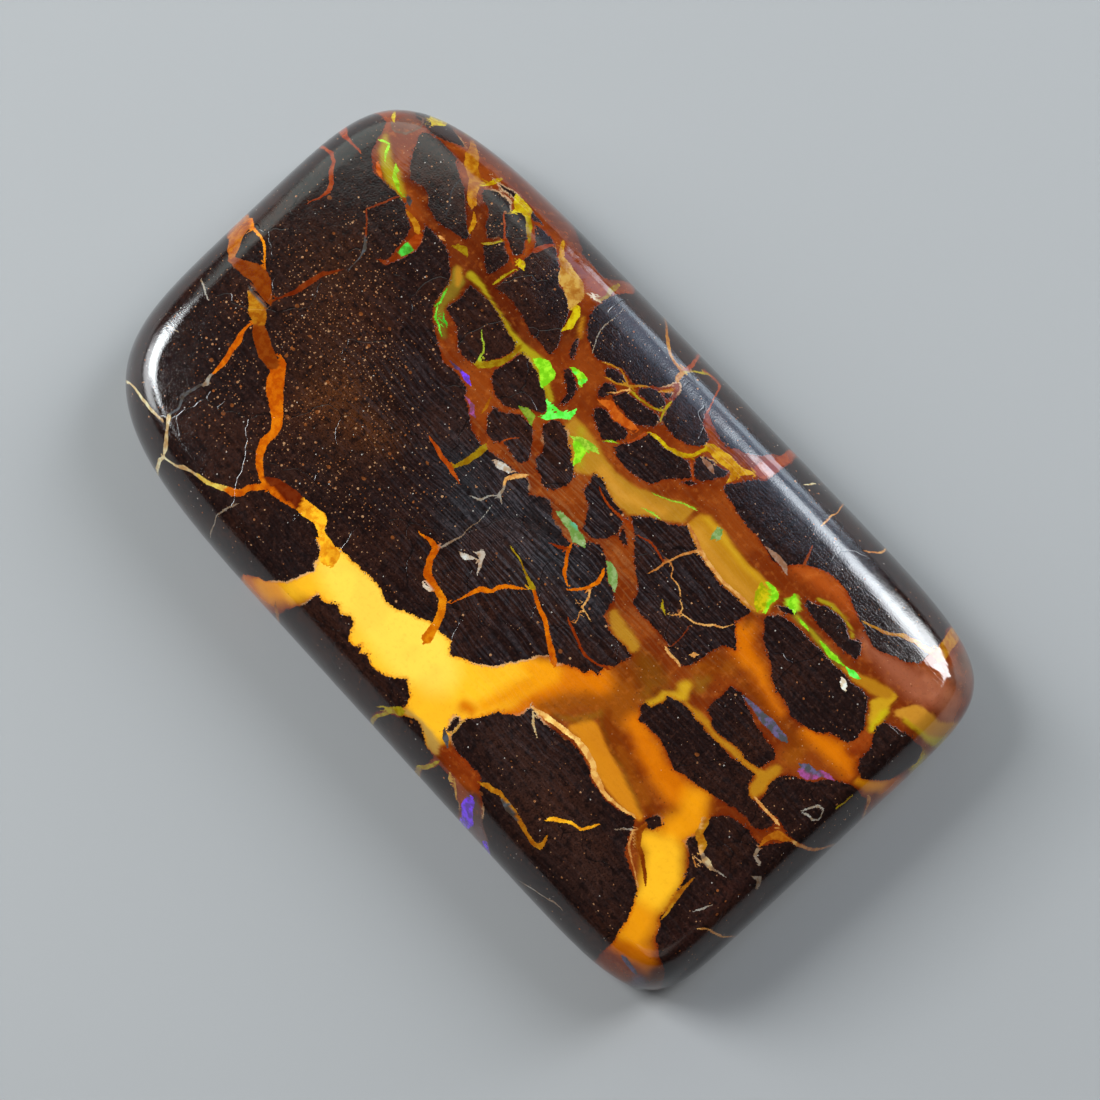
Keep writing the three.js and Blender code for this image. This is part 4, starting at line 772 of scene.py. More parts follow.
# Flashes of spectral colour in the opal, in the same form as the veins
FLASHES = [
    ("lime", [(-4.2, 4.4, 0.35), (-3.85, 4.5, 0.55), (-3.5, 4.35, 0.65), (-3.3, 4, 0.3)]),
    ("lime", [(-3, 5.25, 0.15), (-2.75, 5.3, 0.25), (-2.45, 5.25, 0.4), (-2.3, 5.05, 0.15)]),
    ("neon", [(-1.6, 4.1, 0.15), (-1.62, 3.8, 0.3), (-1.85, 3.55, 0.22), (-2.05, 3.3, 0.25),
        (-2.25, 3.05, 0.3)]),
    ("neon", [(-2.65, 3.55, 0.12), (-2.4, 3.45, 0.2), (-2.25, 3.2, 0.2)]),
    ("neon", [(-2.4, 3.6, 0.1), (-2, 3.62, 0.14), (-1.7, 3.75, 0.14)]),
    ("olive_green", [(-3.15, 2.55, 0.15), (-2.9, 2.6, 0.35), (-2.65, 2.6, 0.35), (-2.4, 2.45, 0.12)]),
    ("lime_thin", [(-0.85, 3.25, 0.1), (-0.5, 3.4, 0.3), (-0.15, 3.5, 0.35), (0.2, 3.6, 0.22)]),
    ("lime", [(-0.5, 3.2, 0.3), (-0.15, 3.05, 0.45), (0, 2.75, 0.3), (0.05, 2.55, 0.12)]),
    ("neon_thin", [(-8.95, 3.7, 0.05), (-8.9, 3.45, 0.1), (-8.75, 3.2, 0.08), (-8.8, 3, 0.06)]),
    ("neon_thin", [(-8.65, 2.95, 0.06), (-8.4, 2.65, 0.1), (-8, 2.45, 0.08), (-7.7, 2.3, 0.05)]),
    ("green", [(-8.2, 2.95, 0.05), (-8, 2.8, 0.1), (-7.8, 2.7, 0.05)]),
    ("violet", [(-6.5, 1.78, 0.08), (-6.2, 1.8, 0.16), (-5.95, 1.85, 0.06)]),
    ("violet_bright", [(-5.9, 1.82, 0.12), (-5.6, 1.82, 0.22), (-5.35, 1.75, 0.1)]),
    ("magenta", [(-4.95, 1.27, 0.08), (-4.6, 1.2, 0.14), (-4.4, 1, 0.2), (-4.2, 0.95, 0.1)]),
    ("mint", [(1.2, 0.75, 0.2), (1.6, 0.72, 0.32), (2, 0.7, 0.35), (2.4, 0.6, 0.45), (2.7, 0.6, 0.25)]),
    ("aqua", [(1.7, 0.8, 0.15), (2, 0.75, 0.3), (2.25, 0.75, 0.15)]),
    ("mint", [(4.1, 0.78, 0.2), (4.45, 0.65, 0.4), (4.75, 0.4, 0.3), (4.9, 0.25, 0.1)]),
    ("mint", [(5.9, 5, 0.1), (6.05, 4.9, 0.35), (6.05, 4.7, 0.2)]),
    ("lime", [(8.9, 5, 0.1), (9.2, 5, 0.25), (9.45, 4.9, 0.3), (9.5, 4.5, 0.2), (9.65, 4.15, 0.14)]),
    ("lemon", [(8.8, 4.7, 0.2), (9.1, 4.5, 0.6), (9.3, 4.2, 0.5), (9.4, 4, 0.2)]),
    ("lime", [(10, 5.35, 0.25), (10.15, 5.1, 0.3), (10.4, 4.98, 0.12)]),
    ("lime", [(10.85, 4.92, 0.08), (11.1, 4.9, 0.16), (11.3, 4.88, 0.06)]),
    ("lime", [(12.1, 4.9, 0.08), (12.45, 4.88, 0.2), (12.8, 4.9, 0.24), (13.15, 4.94, 0.12),
        (13.35, 4.98, 0.05)]),
    ("neon", [(13.55, 5, 0.12), (13.8, 5.02, 0.34), (14.05, 5.05, 0.18)]),
    ("indigo", [(11.6, 1.15, 0.05), (12.3, 1.15, 0.22), (13, 1.18, 0.4), (13.5, 1.15, 0.42),
        (13.9, 1.15, 0.3)]),
    ("indigo", [(15.1, 0.95, 0.2), (15.35, 1.1, 0.35), (15.7, 1.15, 0.2), (15.95, 1.3, 0.12)]),
    ("magenta", [(15.3, 0.75, 0.25), (15.6, 0.85, 0.25), (15.85, 1.1, 0.2)]),
    ("magenta", [(15.9, 1.4, 0.14), (16.1, 1.45, 0.22), (16.3, 1.5, 0.08)]),
    ("violet_bright", [(7.2, -10.1, 0.45), (7.35, -10.6, 0.65), (7.55, -11.2, 0.65), (7.55, -11.8, 0.55),
        (7.4, -12.6, 0.4)]),
    ("violet_bright", [(8.75, -11.6, 0.4), (8.85, -12.2, 0.45), (8.8, -13.2, 0.4)]),
    ("indigo", [(16, -9.65, 0.25), (16.3, -9.7, 0.3), (16.8, -9.8, 0.25)]),
    ("neon", [(-2.95, 5.2, 0.12), (-2.7, 5.3, 0.25), (-2.4, 5.25, 0.35), (-2.35, 5.05, 0.2)]),
    ("lime_thin", [(3.1, 4.07, 0.05), (3.6, 4.38, 0.06), (4.1, 4.68, 0.07), (4.7, 4.95, 0.06)]),
    ("lime_thin", [(3.3, 3.35, 0.06), (3.7, 3.55, 0.1), (4, 3.6, 0.05)]),
]

# Tints of the ironstone, in the same form as the washes
STONE_TINTS = [
    ("umber_cloud", 5, [(-13, 1, 2), (-10, -1.5, 3), (-7, -3.5, 2)]),
    ("foxy_cloud", 2.5, [(-8.5, -2.2, 0.6), (-9, -3.4, 0.8), (-6, -2.4, 0.4)]),
    # The middle of the face greyer and bluer: partly real tone, partly a painted faint reflection
    ("slate_sheen_cloud", 3, [(-4.5, 0.2, 0.6), (-1.5, -1.5, 2), (1.5, -1, 2.5), (4.5, -0.8, 1)]),
    ("near_cloud", 3, [(6.5, -7, 1), (9, -7.2, 1.5), (13, -8, 1)]),
    ("end_cloud", 2, [(17, -4.5, 1), (17.5, -7.5, 1)]),
]


def ring_numbers(face_steps):
    """Ring numbers across the grid: 0 in the middle, 1 at the shoulder, 2 at the girdle, 3 at the back."""
    face = np.arange(face_steps) / face_steps
    shoulder = 1 + np.arange(SHOULDER_STEPS) / SHOULDER_STEPS
    back = 2 + np.arange(BACK_STEPS + 1) / BACK_STEPS
    half = np.concatenate([face, shoulder, back])
    return np.concatenate([-half[:0:-1], half])


def rolled_out(ring, half_size, margin):
    """How far from the middle a ring lies when the stone's skin is rolled out flat."""
    size = np.abs(ring)
    face = (half_size - margin) * np.minimum(size, 1)
    shoulder = SHOULDER_REACH * np.clip(size - 1, 0, 1)
    back = BACK_REACH * np.clip(size - 2, 0, 1)
    return np.sign(ring) * (face + shoulder + back)


def on_square(x, y):
    reach = np.maximum(np.abs(x), np.abs(y))
    return x / reach, y / reach


def rim_point(across_x, across_y):
    """The girdle's point in the direction of a point on the unit square's border."""
    far_power = np.where(across_x >= 0, FAR_RIGHT, FAR_LEFT)
    near_power = np.where(across_x >= 0, NEAR_RIGHT, NEAR_LEFT)
    power = np.where(across_y >= 0, far_power, near_power)
    reach = (np.abs(across_x) ** power + np.abs(across_y) ** power) ** (-1 / power)
    y = HALF_WIDTH * reach * across_y
    slant = LEFT_END_SLANT * (y - SLANT_PIVOT) * np.maximum(0, -reach * across_x) ** 2
    return np.stack([HALF_LENGTH * reach * across_x + slant, y], -1)


def rim_normal(across_x, across_y):
    """Which way the girdle faces there, from two neighbouring points of it."""
    nudge = 1e-4
    side = np.abs(across_x) >= np.abs(across_y)
    turn_x = np.where(side, 0, -np.sign(across_y) * nudge)
    turn_y = np.where(side, np.sign(across_x) * nudge, 0)
    ahead = rim_point(*on_square(across_x + turn_x, across_y + turn_y))
    behind = rim_point(*on_square(across_x - turn_x, across_y - turn_y))
    along = ahead - behind
    along /= np.linalg.norm(along, axis=-1, keepdims=True)
    return np.stack([along[..., 1], -along[..., 0]], -1)


def face_height(plan):
    to_ends = np.abs(plan[..., 0] / HALF_LENGTH) ** END_POWER
    to_sides = np.abs(plan[..., 1] / HALF_WIDTH) ** SIDE_POWER
    return THICKNESS - FALL_TO_ENDS * to_ends - FALL_TO_SIDES * to_sides


def shoulder_width(outward):
    along = np.where(outward[..., 0] > 0, SHOULDER_RIGHT, SHOULDER_LEFT)
    across = np.where(outward[..., 1] > 0, SHOULDER_FAR, SHOULDER_NEAR)
    return along * outward[..., 0] ** 2 + across * outward[..., 1] ** 2


def quarter_length(one, other):
    """About how long a quarter of an ellipse is."""
    return math.pi / 2 * np.sqrt((one**2 + other**2) / 2)


def stone_surface():
    """The grid's places on the stone, and the same places on its skin rolled out flat, in millimetres."""
    long_rings, wide_rings = np.meshgrid(
        ring_numbers(FACE_STEPS_LONG), ring_numbers(FACE_STEPS_WIDE), indexing="ij"
    )
    ring = np.maximum(np.abs(long_rings), np.abs(wide_rings))
    middle = ring == 0
    border_x = rolled_out(ring, HALF_LENGTH, FACE_MARGIN_LONG)
    border_y = rolled_out(ring, HALF_WIDTH, FACE_MARGIN_WIDE)
    border_x[middle] = 1
    border_y[middle] = 1
    across_x = rolled_out(long_rings, HALF_LENGTH, FACE_MARGIN_LONG) / border_x
    across_y = rolled_out(wide_rings, HALF_WIDTH, FACE_MARGIN_WIDE) / border_y
    across_x[middle] = 1
    rim = rim_point(*on_square(across_x, across_y))
    outward = rim_normal(*on_square(across_x, across_y))
    width = shoulder_width(outward)[..., None]
    start = rim - outward * width
    ring = ring[..., None]
    shoulder_share = np.clip(ring - 1, 0, 1)
    back_share = np.clip(ring - 2, 0, 1)
    shoulder_turn = shoulder_share * math.pi / 2
    back_turn = back_share * math.pi / 2
    out = width * np.sin(shoulder_turn) - BACK_INSET * (1 - np.cos(back_turn))
    plan = start * np.minimum(ring, 1) + outward * out
    edge = face_height(rim)[..., None] - GIRDLE_HEIGHT
    height = face_height(plan)[..., None] - edge * (1 - np.cos(shoulder_turn))
    height = np.where(ring > 2, GIRDLE_HEIGHT * (1 - np.sin(back_turn)), height)
    skin = start * np.minimum(ring, 1)
    skin = skin + outward * quarter_length(width, edge) * shoulder_share
    skin = skin + outward * quarter_length(BACK_INSET, GIRDLE_HEIGHT) * back_share
    return np.concatenate([plan, height], -1), skin


def border_loop(index):
    """The grid's outermost vertices, in order round it."""
    return np.concatenate([index[0, :-1], index[:-1, -1], index[-1, :0:-1], index[:0:-1, 0]])


def build_stone():
    """The stone's mesh, and where each of its vertices lies on the rolled-out skin."""
    places, skin = stone_surface()
    rows, columns = places.shape[:2]
    index = np.arange(rows * columns).reshape(rows, columns)
    quads = np.stack([index[:-1, :-1], index[1:, :-1], index[1:, 1:], index[:-1, 1:]], -1)
    faces = quads.reshape(-1, 4).tolist()
    vertices = places.reshape(-1, 3)
    skin = skin.reshape(-1, 2)
    loop = border_loop(index)
    skin[loop] = vertices[loop, :2]
    outer = loop
    for share in BACK_SHARES:
        inner = len(vertices) + np.arange(len(loop))
        vertices = np.concatenate([vertices, vertices[loop] * [share, share, 0]])
        skin = np.concatenate([skin, skin[loop] * share])
        band = np.stack([outer, np.roll(outer, -1), np.roll(inner, -1), inner], -1)
        faces += band.tolist()
        outer = inner
    faces.append(outer.tolist())
    mesh = bpy.data.meshes.new(NODE + "_skin")
    mesh.from_pydata((vertices * MM).tolist(), [], faces)
    mesh.polygons.foreach_set("use_smooth", np.ones(len(mesh.polygons), bool))
    mesh.update()
    return mesh, vertices, skin


def smooth_noise(places, cell, seed):
    """Smooth random heights from -1 to 1, from one random height at each corner of a grid of cells."""
    heights = np.random.default_rng(seed).uniform(-1, 1, (NOISE_CELLS, NOISE_CELLS))
    spot = places / cell + NOISE_CELLS // 2
    corner = np.floor(spot).astype(int)
    part = spot - corner
    part = part * part * (3 - 2 * part)
    x, y = (corner % (NOISE_CELLS - 1)).T
    near = heights[x, y] * (1 - part[:, 0]) + heights[x + 1, y] * part[:, 0]
    far = heights[x, y + 1] * (1 - part[:, 0]) + heights[x + 1, y + 1] * part[:, 0]
    return near * (1 - part[:, 1]) + far * part[:, 1]


def clouds(places, cell, seed):
    """Smooth random heights with finer ones on top, about from -1 to 1."""
    layers = [smooth_noise(places, cell / 2**k, seed + k) * CLOUD_FADE**k for k in range(CLOUD_LAYERS)]
    return sum(layers) / CLOUD_SUM


def ragged(places):
    """The places moved a little, so that what is drawn there gets natural, uneven edges."""
    moves = [
        0.6 * smooth_noise(places, 0.75, seed) + 0.4 * smooth_noise(places, 0.28, seed + 7)
        for seed in (1, 2)
    ]
    return places + RAGGEDNESS * np.stack(moves, -1)


class Drawing:
    """The skin's places, sorted from left to right so that the ones near a segment are found quickly."""

    def __init__(self, places):
        self.order = np.argsort(places[:, 0])
        self.places = places[self.order]

    def unsorted(self, values):
        result = np.empty_like(values)
        result[self.order] = values
        return result

    def near(self, low, high):
        first, last = np.searchsorted(self.places[:, 0], [low[0], high[0]])
        y = self.places[first:last, 1]
        return first + np.flatnonzero((y > low[1]) & (y < high[1]))

    def segment(self, start, end, reach):
        """The places near a segment: which, how far along it from 0 to 1, and how far to its left."""
        near = self.near(np.minimum(start, end) - reach, np.maximum(start, end) + reach)
        along = end - start
        offset = self.places[near] - start
        share = np.clip(offset @ along / (along @ along), 0, 1)
        gap = offset - share[:, None] * along
        side = np.hypot(gap[:, 0], gap[:, 1])
        side = np.where(along[0] * gap[:, 1] < along[1] * gap[:, 0], -side, side)
        return near, share, side

    def parts(self, stroke, reach):
        """For each part of a stroke: the places near it, how far to its left, and half its width there."""
        for start, end in zip(np.array(stroke), np.array(stroke)[1:]):
            wide = max(start[2], end[2]) / 2
            near, share, side = self.segment(start[:2], end[:2], reach + wide)
            yield near, side, (start[2] * (1 - share) + end[2] * share) / 2

    def inside(self, corners):
        """Which places an outline encloses."""
        near = self.near(corners.min(0), corners.max(0))
        x, y = self.places[near].T
        odd = np.zeros(len(near), bool)
        for start, end in zip(corners, np.roll(corners, -1, 0)):
            if start[1] != end[1]:
                crosses = (start[1] > y) != (end[1] > y)
                at = start[0] + (y - start[1]) / (end[1] - start[1]) * (end[0] - start[0])
                odd ^= crosses & (x < at)
        result = np.zeros(len(self.places), bool)
        result[near[odd]] = True
        return result

    def depth_in(self, outlines):
        """How deep inside the outlines each place lies, and below nothing how far outside them."""
        distance = np.full(len(self.places), OUTLINE_REACH)
        inside = np.zeros(len(self.places), bool)
        for corners in map(np.array, outlines):
            inside |= self.inside(corners)
            for start, end in zip(corners, np.roll(corners, -1, 0)):
                near, _, side = self.segment(start, end, OUTLINE_REACH)
                distance[near] = np.minimum(distance[near], np.abs(side))
        return np.where(inside, distance, -distance)

    def depth_in_stroke(self, stroke, reach):
        """How deep inside a stroke each place lies, and below nothing how far outside it, up to reach."""
        depth = np.full(len(self.places), -reach, float)
        for near, side, half in self.parts(stroke, reach):
            depth[near] = np.maximum(depth[near], half - np.abs(side))
        return depth

    def strokes(self, strokes):
        """From its nearest stroke, for each place: how far to its left, half its width, the gap, the tint."""
        gap = np.ones(len(self.places))
        side = np.ones(len(self.places))
        half = np.zeros(len(self.places))
        tint = np.zeros((len(self.places), 3))
        for colour, stroke in strokes:
            for near, left, wide in self.parts(stroke, STROKE_REACH):
                nearer = np.abs(left) - wide < gap[near]
                chosen = near[nearer]
                gap[chosen] = (np.abs(left) - wide)[nearer]
                side[chosen] = left[nearer]
                half[chosen] = wide[nearer]
                tint[chosen] = light_of(colour)
        return np.stack([side, half, gap], -1), tint


def light_of(name):
    """The light that a named colour gives, from how it looks."""
    value = np.array(COLOURS[name]) / 255
    return np.where(value < 0.04045, value / 12.92, ((value + 0.055) / 1.055) ** 2.4)


def rgb(name):
    return (*light_of(name), 1)


def blended(under, over, share):
    return under + (over - under) * share[:, None]


def washed(drawing, tint, washes):
    """The tint with soft strokes of colour laid over it, one after the other."""
    for colour, soft, stroke in washes:
        share = np.clip(0.5 + drawing.depth_in_stroke(stroke, soft) / soft, 0, 1)
        tint = blended(tint, light_of(colour), share * share * (3 - 2 * share))
    return tint


def opal_colours(drawing):
    """The opal's colour at each place, painted glow and shade among it: washes, then the sharper patches,
    then the glows in them.
    """
    tint = np.tile(light_of("brick"), (len(drawing.places), 1))
    tint = washed(drawing, tint, WASHES)
    for colour, outline in PATCHES:
        depth = drawing.depth_in([outline])
        tint = blended(tint, light_of(colour), np.clip(0.5 + depth / PATCH_EDGE, 0, 1))
    return washed(drawing, tint, GLOWS)


def stone_colours(drawing):
    return washed(drawing, np.tile(light_of("ironstone"), (len(drawing.places), 1)), STONE_TINTS)


def give(mesh, name, kind, values):
    """Store one value for each of the mesh's vertices."""
    attribute = mesh.attributes.new(name, kind, "POINT")
    field = {"FLOAT": "value", "FLOAT_VECTOR": "vector", "FLOAT_COLOR": "color"}[kind]
    if kind == "FLOAT_COLOR":
        values = np.concatenate([values, np.ones((len(values), 1))], -1)
    attribute.data.foreach_set(field, np.ascontiguousarray(values, np.float32).ravel())


def soft_spots(places, spots, limits):
    """How strong a few soft spots together are at each place, kept within the limits."""
    strength = 0
    for most, x, y, reach_x, reach_y in spots:
        away = ((places[:, 0] - x) / reach_x) ** 2 + ((places[:, 1] - y) / reach_y) ** 2
        strength = strength + most * np.exp(-away)
    return np.clip(strength, *limits)


def paint(mesh, vertices, skin):
    """Store the pattern on the mesh, for the material to read."""
    drawing = Drawing(ragged(skin))
    on_back = (vertices[:, 2] < BACK_LEVEL).astype(float)
    opal = drawing.unsorted(-drawing.depth_in(IRONSTONE.values()))
    give(mesh, "opal_depth", "FLOAT", opal * (1 - on_back) - on_back)
    give(mesh, "opal_tint", "FLOAT_COLOR", drawing.unsorted(opal_colours(drawing)))
    give(mesh, "stone_tint", "FLOAT_COLOR", drawing.unsorted(stone_colours(drawing)))
    for name, strokes in (("vein", VEINS), ("flash", FLASHES)):
        nearest, tint = drawing.strokes(strokes)
        give(mesh, name, "FLOAT_VECTOR", drawing.unsorted(nearest) + on_back[:, None] * [0, 0, 1])
        give(mesh, name + "_tint", "FLOAT_COLOR", drawing.unsorted(tint))
    # Where the polishing lines are painted pale, as a sheen of reflected light
    give(mesh, "brushed_sheen", "FLOAT", soft_spots(skin, BRUSHED_SHEEN, BRUSHED_SHEEN_RANGE))
    give(mesh, "speckled", "FLOAT", soft_spots(skin, SPECKLED, SPECKLED_RANGE))
    give(mesh, "ground_back", "FLOAT", on_back)
    give(mesh, "skin", "FLOAT_VECTOR", np.column_stack([skin, np.zeros(len(skin))]))
    cloudy = [clouds(skin, cell, seed) for cell, seed in CLOUDS]
    give(mesh, "clouds", "FLOAT_VECTOR", 0.5 + 0.5 * np.stack(cloudy, -1))


class Nodes:
    """Short names for making a material's nodes, and the noises that several of its layers share."""

    def __init__(self, tree):
        self.tree = tree
        self.place = self.stored("skin", "Vector")
        self.fine = self.noise(self.place, 14, 2, 0.6)
        self.medium = self.noise(self.place, 3.2, 3, 0.6)
        self.jagged = self.noise(self.place, 5.5, 2, 0.7)
        self.patches = self.noise(self.place, 0.16, 4, 0.6)
        self.broad, self.murk, self.wide = self.apart(self.stored("clouds", "Vector"))
        self.brushed_sheen = self.stored("brushed_sheen")
        self.lines = self.polish_lines()

    def node(self, kind, values=(), **settings):
        node = self.tree.nodes.new(kind)
        for name, value in settings.items():
            setattr(node, name, value)
        for socket, value in dict(values).items():
            if isinstance(value, bpy.types.NodeSocket):
                self.tree.links.new(value, node.inputs[socket])
            else:
                node.inputs[socket].default_value = value
        return node

    def stored(self, name, output="Fac"):
        return self.node("ShaderNodeAttribute", attribute_name=name).outputs[output]

    def apart(self, vector):
        return self.node("ShaderNodeSeparateXYZ", {0: vector}).outputs

    def maths(self, operation, first, second=0.0, third=0.0):
        values = {0: first, 1: second, 2: third}
        return self.node("ShaderNodeMath", values, operation=operation).outputs[0]

    def times(self, first, second):
        return self.maths("MULTIPLY", first, second)

    def plus(self, first, second):
        return self.maths("ADD", first, second)

    def minus(self, first, second):
        return self.maths("SUBTRACT", first, second)

    def rise(self, value, start, end, low=0.0, high=1.0):
        """A smooth step from low to high as the value goes from start to end."""
        values = {"Value": value, "From Min": start, "From Max": end, "To Min": low, "To Max": high}
        return self.node("ShaderNodeMapRange", values, interpolation_type="SMOOTHSTEP").outputs[0]

    def mixed(self, share, first, second, way="MIX"):
        values = {0: share, 6: first, 7: second}
        return self.node("ShaderNodeMix", values, data_type="RGBA", blend_type=way).outputs[2]

    def over(self, under, share, name):
        """The colour under it with a share of a named colour laid over it."""
        return self.mixed(share, under, rgb(name))

    def shaded(self, colour, name):
        return self.mixed(1.0, colour, rgb(name), "MULTIPLY")

    def mottled(self, colour, layers):
        for field, start, full, share, name in layers:
            colour = self.over(colour, self.rise(getattr(self, field), start, full, 0, share), name)
        return colour

    def noise(self, place, scale, detail=2.0, rough=0.5):
        values = {"Vector": place, "Scale": scale, "Detail": detail, "Roughness": rough}
        return self.node("ShaderNodeTexNoise", values, noise_dimensions="2D").outputs["Fac"]

    def stretched(self, place, x, y, z):
        values = {0: place, 1: (x, y, z)}
        return self.node("ShaderNodeVectorMath", values, operation="MULTIPLY").outputs[0]

    def shifted(self, place, x, y):
        """The place moved by two values."""
        move = self.node("ShaderNodeCombineXYZ", {0: x, 1: y, 2: 0.0}).outputs[0]
        return self.node("ShaderNodeVectorMath", {0: place, 1: move}, operation="ADD").outputs[0]

    def polish_lines(self):
        """Fine polishing lines along the stone, slightly bent and broken."""
        bent = self.shifted(self.place, 0.0, self.times(self.wide, 0.5))
        lines = self.noise(self.stretched(bent, 0.35, 11.0, 1.0), 1.0, 1, 0.5)
        return self.times(self.rise(lines, 0.4, 0.7), self.rise(self.jagged, 0.3, 0.6, 0.35, 1))

    def cells(self, place, scale):
        """Random cells: how far from the cell's middle, and the cell's own random numbers."""
        node = self.node("ShaderNodeTexVoronoi", {"Vector": place, "Scale": scale}, voronoi_dimensions="2D")
        parts = self.node("ShaderNodeSeparateColor", {0: node.outputs["Color"]})
        return node.outputs["Distance"], parts.outputs

    def specks(self, place, scale, share, smallest, largest):
        """Round specks in a share of the cells, each with its own size."""
        distance, random = self.cells(place, scale)
        size = self.plus(smallest * scale, self.times(random[1], (largest - smallest) * scale))
        shape = self.rise(self.minus(size, distance), 0.0, 0.02 * scale)
        chosen = self.maths("LESS_THAN", random[0], share)
        return self.times(shape, chosen)


def cracks_of(n):
    """Hairline cracks along the borders of large, warped cells."""
    values = {"Vector": n.shifted(n.place, n.broad, n.murk), "Scale": 0.33}
    settings = {"feature": "DISTANCE_TO_EDGE", "voronoi_dimensions": "2D"}
    cells = n.node("ShaderNodeTexVoronoi", values, **settings)
    cracks = n.rise(cells.outputs["Distance"], 0.012, 0.003)
    return n.times(cracks, n.rise(n.broad, 0.42, 0.55))


def stone_with_specks(n, stone):
    """Tan, rusty and white specks over the ironstone."""
    speckled = n.times(n.stored("speckled"), n.rise(n.murk, 0.2, 0.7, 0.5, 1.5))
    middling = n.specks(n.place, 3.1, n.times(speckled, 0.45), 0.01, 0.065)
    small = n.specks(n.place, 6.5, n.times(speckled, 0.75), 0.008, 0.04)
    large = n.specks(n.stretched(n.place, 1.0, 1.15, 1.0), 1.5, n.times(speckled, 0.16), 0.05, 0.12)
    white = n.specks(n.stretched(n.place, 1.0, 1.0, 1.1), 2.3, 0.14, 0.012, 0.04)
    tint = n.mixed(n.rise(n.medium, 0.4, 0.6), rgb("speck_rust"), rgb("speck_tan"))
    stone = n.over(stone, n.times(n.times(large, n.jagged), 0.9), "speck_large")
    stone = n.mixed(n.times(middling, 0.8), stone, tint)
    stone = n.mixed(n.times(small, 0.7), stone, tint)
    return n.over(stone, n.times(white, 0.8), "speck_white")


def stone_colour(n, cracks):
    """Ironstone: mottled, crossed by polishing lines painted pale as sheen and darker between, with specks
    and dark cracks.
    """
    stone = n.mottled(n.stored("stone_tint", "Color"), STONE_MOTTLING)
    # The polishing lines are painted pale where the face shows a sheen of reflected light, and darker between
    # them
    sheen_lines = n.times(n.lines, n.brushed_sheen)
    stone = n.over(stone, n.times(sheen_lines, 0.3), "line_sheen")
    stone = n.over(stone, n.times(n.minus(n.brushed_sheen, sheen_lines), 0.25), "line_dark")
    stone = stone_with_specks(n, stone)
    return n.over(stone, n.times(cracks, 0.8), "crack")


def opal_depth(n):
    """How deep in the opal a place is, with finely ragged edges."""
    ragged_edge = n.plus(n.times(n.minus(n.fine, 0.5), 0.1), n.times(n.minus(n.jagged, 0.5), 0.22))
    depth = n.plus(n.stored("opal_depth"), ragged_edge)
    return n.minus(depth, n.times(n.rise(n.jagged, 0.62, 0.72), 0.16))


def opal_colour(n, depth):
    """Opal: its own colours, cloudier and dirtier where it is rusty, with painted shade darkening its edges.
    """
    opal = n.stored("opal_tint", "Color")
    green = n.node("ShaderNodeSeparateColor", {0: opal}).outputs[1]
    dirty = n.minus(1.0, n.rise(green, 0.07, 0.2))
    cloud = n.times(n.plus(n.times(dirty, 0.6), 0.12), n.rise(n.murk, 0.3, 0.7))
    opal = n.mixed(cloud, opal, n.shaded(opal, "opal_shade"))
    opal = n.over(opal, n.times(dirty, n.rise(n.medium, 0.5, 0.8, 0, 0.25)), "opal_bloom")
    # Painted shade: the opal darkened along its edges against the ironstone
    opal = n.mixed(n.times(n.rise(depth, 0.16, 0.0), 0.7), opal, n.shaded(opal, "opal_edge_shade"))
    # Pale polishing lines over the opal: a faint painted sheen
    opal = n.over(opal, n.times(n.times(n.lines, n.brushed_sheen), 0.07), "opal_line_sheen")
    opal = n.over(opal, n.rise(n.jagged, 0.5, 0.2, 0, 0.1), "opal_pits")
    dust = n.specks(n.place, 4.6, n.times(dirty, 0.14), 0.01, 0.035)
    opal = n.over(opal, n.times(dust, 0.45), "opal_dust")
    gritty = n.plus(n.times(dirty, 0.16), 0.02)
    grit = n.specks(n.stretched(n.place, 1.1, 1.0, 1.0), 3.7, gritty, 0.012, 0.045)
    opal = n.over(opal, n.times(grit, 0.5), "opal_grit")
    return n.over(opal, n.times(n.rise(n.jagged, 0.55, 0.8), n.times(dirty, 0.4)), "opal_stain")


def crust_between(n, depth):
    """A pale crust, here and there where opal and ironstone meet."""
    crust = n.times(n.rise(depth, -0.03, 0.0), n.rise(depth, 0.09, 0.04))
    return n.times(crust, n.rise(n.wide, 0.7, 0.8))


def stroke_mask(n, name, rough):
    """Where strokes are: as far as their own half width, roughened."""
    side, half, gap = n.apart(n.stored(name, "Vector"))
    inner = n.minus(n.plus(half, rough), n.maths("ABSOLUTE", side))
    return n.times(n.rise(inner, -0.008, 0.012), n.rise(gap, 0.1, 0.07))


def with_veins(n, colour):
    mask = stroke_mask(n, "vein", n.times(n.minus(n.fine, 0.55), 0.09))
    tint = n.stored("vein_tint", "Color")
    tint = n.mixed(n.rise(n.medium, 0.38, 0.62), n.shaded(tint, "vein_shade"), tint)
    tint = n.mixed(n.rise(n.murk, 0.56, 0.4, 0, 0.6), tint, n.shaded(tint, "vein_deep"))
    return n.mixed(mask, colour, tint)


def with_flashes(n, colour):
    mask = stroke_mask(n, "flash", n.times(n.minus(n.fine, 0.5), 0.12))
    tint = n.stored("flash_tint", "Color")
    tint = n.mixed(n.rise(n.medium, 0.4, 0.65), n.shaded(tint, "flash_shade"), tint)
    return n.mixed(mask, colour, tint)


